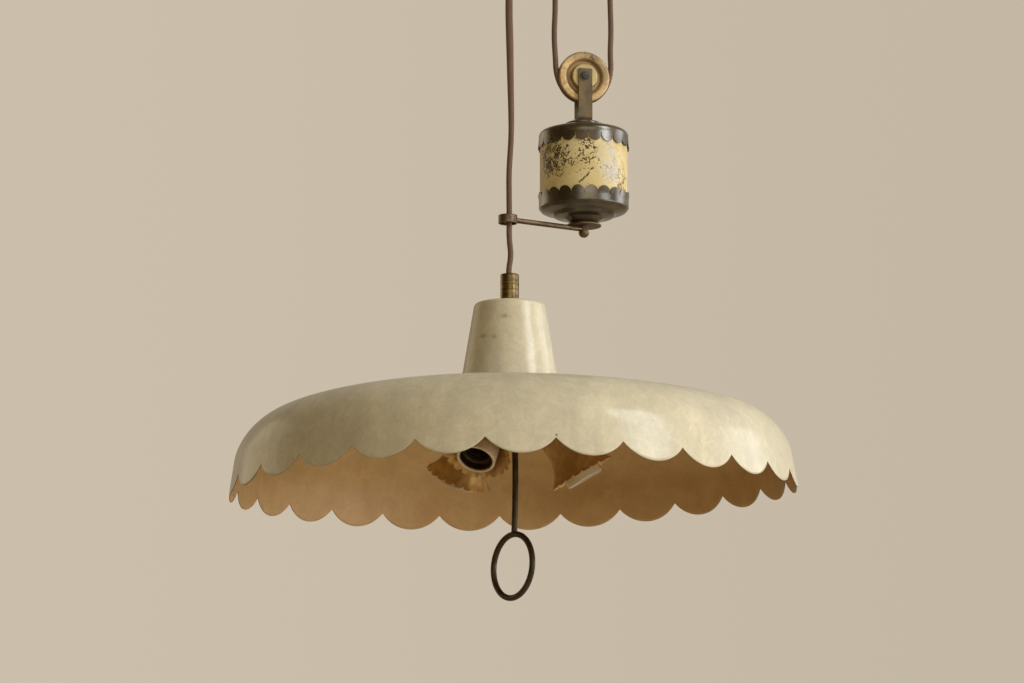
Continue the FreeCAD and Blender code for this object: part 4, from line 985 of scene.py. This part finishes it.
# ---- stage ----
class PENDANT_OT_stage(bpy.types.Operator):
    """Set up the camera, the floor, the room's light and the lamps"""
    bl_idname = "pendant.stage"
    bl_label = "Stage"

    def camera(self):
        """The photograph's view: from below, square on to the shade's cord."""
        image_width, focal_length = 1024, 3437  # in pixels
        away, height, look_up = 3.575, -1.245, math.radians(10.43)
        data = bpy.data.cameras.new("camera")
        data.sensor_width = 36
        data.lens = focal_length * data.sensor_width / image_width
        data.clip_end = 50
        holder = linked("camera", data)
        holder.location = (SHADE_AXIS.x + 2.5 * MM, SHADE_AXIS.y - away, height)
        holder.rotation_euler = (math.radians(90) + look_up, 0, 0)
        bpy.context.scene.camera = holder

    def lamp(self, name, target, where, size, energy, tone):
        """A flat lamp that faces the target; where is degrees to the right, degrees up and metres away."""
        turn, rise, distance = math.radians(where[0]), math.radians(where[1]), where[2]
        way = Vector((math.sin(turn) * math.cos(rise), -math.cos(turn) * math.cos(rise), math.sin(rise)))
        data = bpy.data.lights.new(name, "AREA")
        data.shape = "RECTANGLE"
        data.size, data.size_y = size
        data.energy = energy
        data.color = tone
        holder = linked(name, data)
        holder.location = self.middle + distance * way
        holder.rotation_euler = (target - holder.location).to_track_quat("-Z", "Y").to_euler()

    def floor(self, settings):
        """A floor that the camera sees as pale as the wall, and only from above."""
        room_height = 2.45
        bm = bmesh.new()
        bmesh.ops.create_grid(bm, x_segments=1, y_segments=1, size=8,
                              matrix=Matrix.Translation((0, 0, -room_height)))
        mesh = baked(bm, "floor")
        graph = Graph("pale_floor", roughness=0.9)
        graph.finish(graph.shaded(settings.floor, graph.noise(3, 3), 0.96, 1.04))
        seen = graph.add("LightPath").outputs["Is Camera Ray"]
        graph.feed(graph.shader.inputs["Emission Color"], settings.wall)
        graph.feed(graph.shader.inputs["Emission Strength"], graph.times(seen, 0.65))
        mixed = graph.add("MixShader")
        faces = (graph.add("NewGeometry").outputs["Backfacing"], graph.shader.outputs[0],
                 graph.add("BsdfTransparent").outputs[0])
        for socket, value in zip(mixed.inputs, faces):
            graph.feed(socket, value)
        graph.feed(graph.nodes["Material Output"].inputs["Surface"], mixed.outputs[0])
        mesh.materials.append(graph.material)
        linked("floor", mesh)

    def room(self, settings):
        """Pale wall for the camera; for the light, pale behind the lamp and darker in front."""
        world = bpy.data.worlds.new("room")
        bpy.context.scene.world = world
        tree = Tree(world, "Generated")
        right, away, _ = tree.split(tree.place)
        front, left = (scaled(tone, settings.ambient) for tone in ((0.52, 0.34, 0.105), (0.24, 0.155, 0.05)))
        paler, darker = scaled(settings.wall, 1.045), scaled(settings.wall, 0.965)
        seen = tree.blend(tree.step(right, -0.15, 0.15), paler, darker)
        lit = tree.blend(tree.step(away, -0.5, 0.7), front, scaled(settings.wall, 1.5 * settings.ambient))
        shade = tree.blend(tree.step(away, 0.2, 0.95), left, lit)
        lit = tree.blend(tree.step(right, -0.75, -0.1), shade, lit)
        to_camera = tree.add("LightPath").outputs["Is Camera Ray"]
        tree.feed(tree.nodes["Background"].inputs["Color"], tree.blend(to_camera, lit, seen))

    def execute(self, context):
        settings = context.scene.pendant_stage
        self.camera()
        self.floor(settings)
        self.room(settings)
        self.middle = Vector((SHADE_AXIS.x, SHADE_AXIS.y, -0.55))
        under = self.middle - Vector((0, 0, 0.1))
        self.lamp("window", self.middle, (58, 29, 3.2), (1.1, 1.5), settings.window, (0.9, 0.96, 1.0))
        self.lamp("side", self.middle, (106, 8, 3.2), (1.4, 2.0), settings.side, (0.92, 0.97, 1.0))
        self.lamp("fill", self.middle, (10, 4, 3.4), (2.6, 1.8), settings.fill, (1.0, 0.95, 0.8))
        self.lamp("edge", self.middle, (-125, 12, 3.4), (2.0, 2.0), settings.edge, (1.0, 0.86, 0.62))
        self.lamp("low", under, (72, -9, 2.6), (1.5, 0.7), settings.low, (1.0, 0.93, 0.82))
        return {"FINISHED"}


# ---- panel and registration ----
STEPS = (PENDANT_OT_stage, PENDANT_OT_cord, PENDANT_OT_shade, PENDANT_OT_sockets, PENDANT_OT_fittings,
         PENDANT_OT_counterweight, PENDANT_OT_ceiling)
GROUPS = (("pendant_colours", PENDANT_PG_colours), ("pendant_sizes", PENDANT_PG_sizes),
          ("pendant_stage", PENDANT_PG_stage))


class PENDANT_PT_panel(bpy.types.Panel):
    bl_idname = "PENDANT_PT_panel"
    bl_label = "Pendant"
    bl_space_type = "VIEW_3D"
    bl_region_type = "UI"
    bl_category = "Pendant"

    def draw(self, context):
        for name, group in GROUPS:
            box = self.layout.box()
            for field in group.__annotations__:
                box.prop(getattr(context.scene, name), field)
        for step in STEPS:
            self.layout.operator(step.bl_idname)


def register():
    for name, group in GROUPS:
        bpy.utils.register_class(group)
        setattr(bpy.types.Scene, name, bpy.props.PointerProperty(type=group))
    for step in STEPS:
        bpy.utils.register_class(step)
    bpy.utils.register_class(PENDANT_PT_panel)


def unregister():
    bpy.utils.unregister_class(PENDANT_PT_panel)
    for step in reversed(STEPS):
        bpy.utils.unregister_class(step)
    for name, group in reversed(GROUPS):
        delattr(bpy.types.Scene, name)
        bpy.utils.unregister_class(group)


def main():
    register()
    bpy.context.scene.view_settings.view_transform = "Standard"
    for step in STEPS:
        family, action = step.bl_idname.split(".")
        getattr(getattr(bpy.ops, family), action)()


if __name__ == "__main__":
    main()
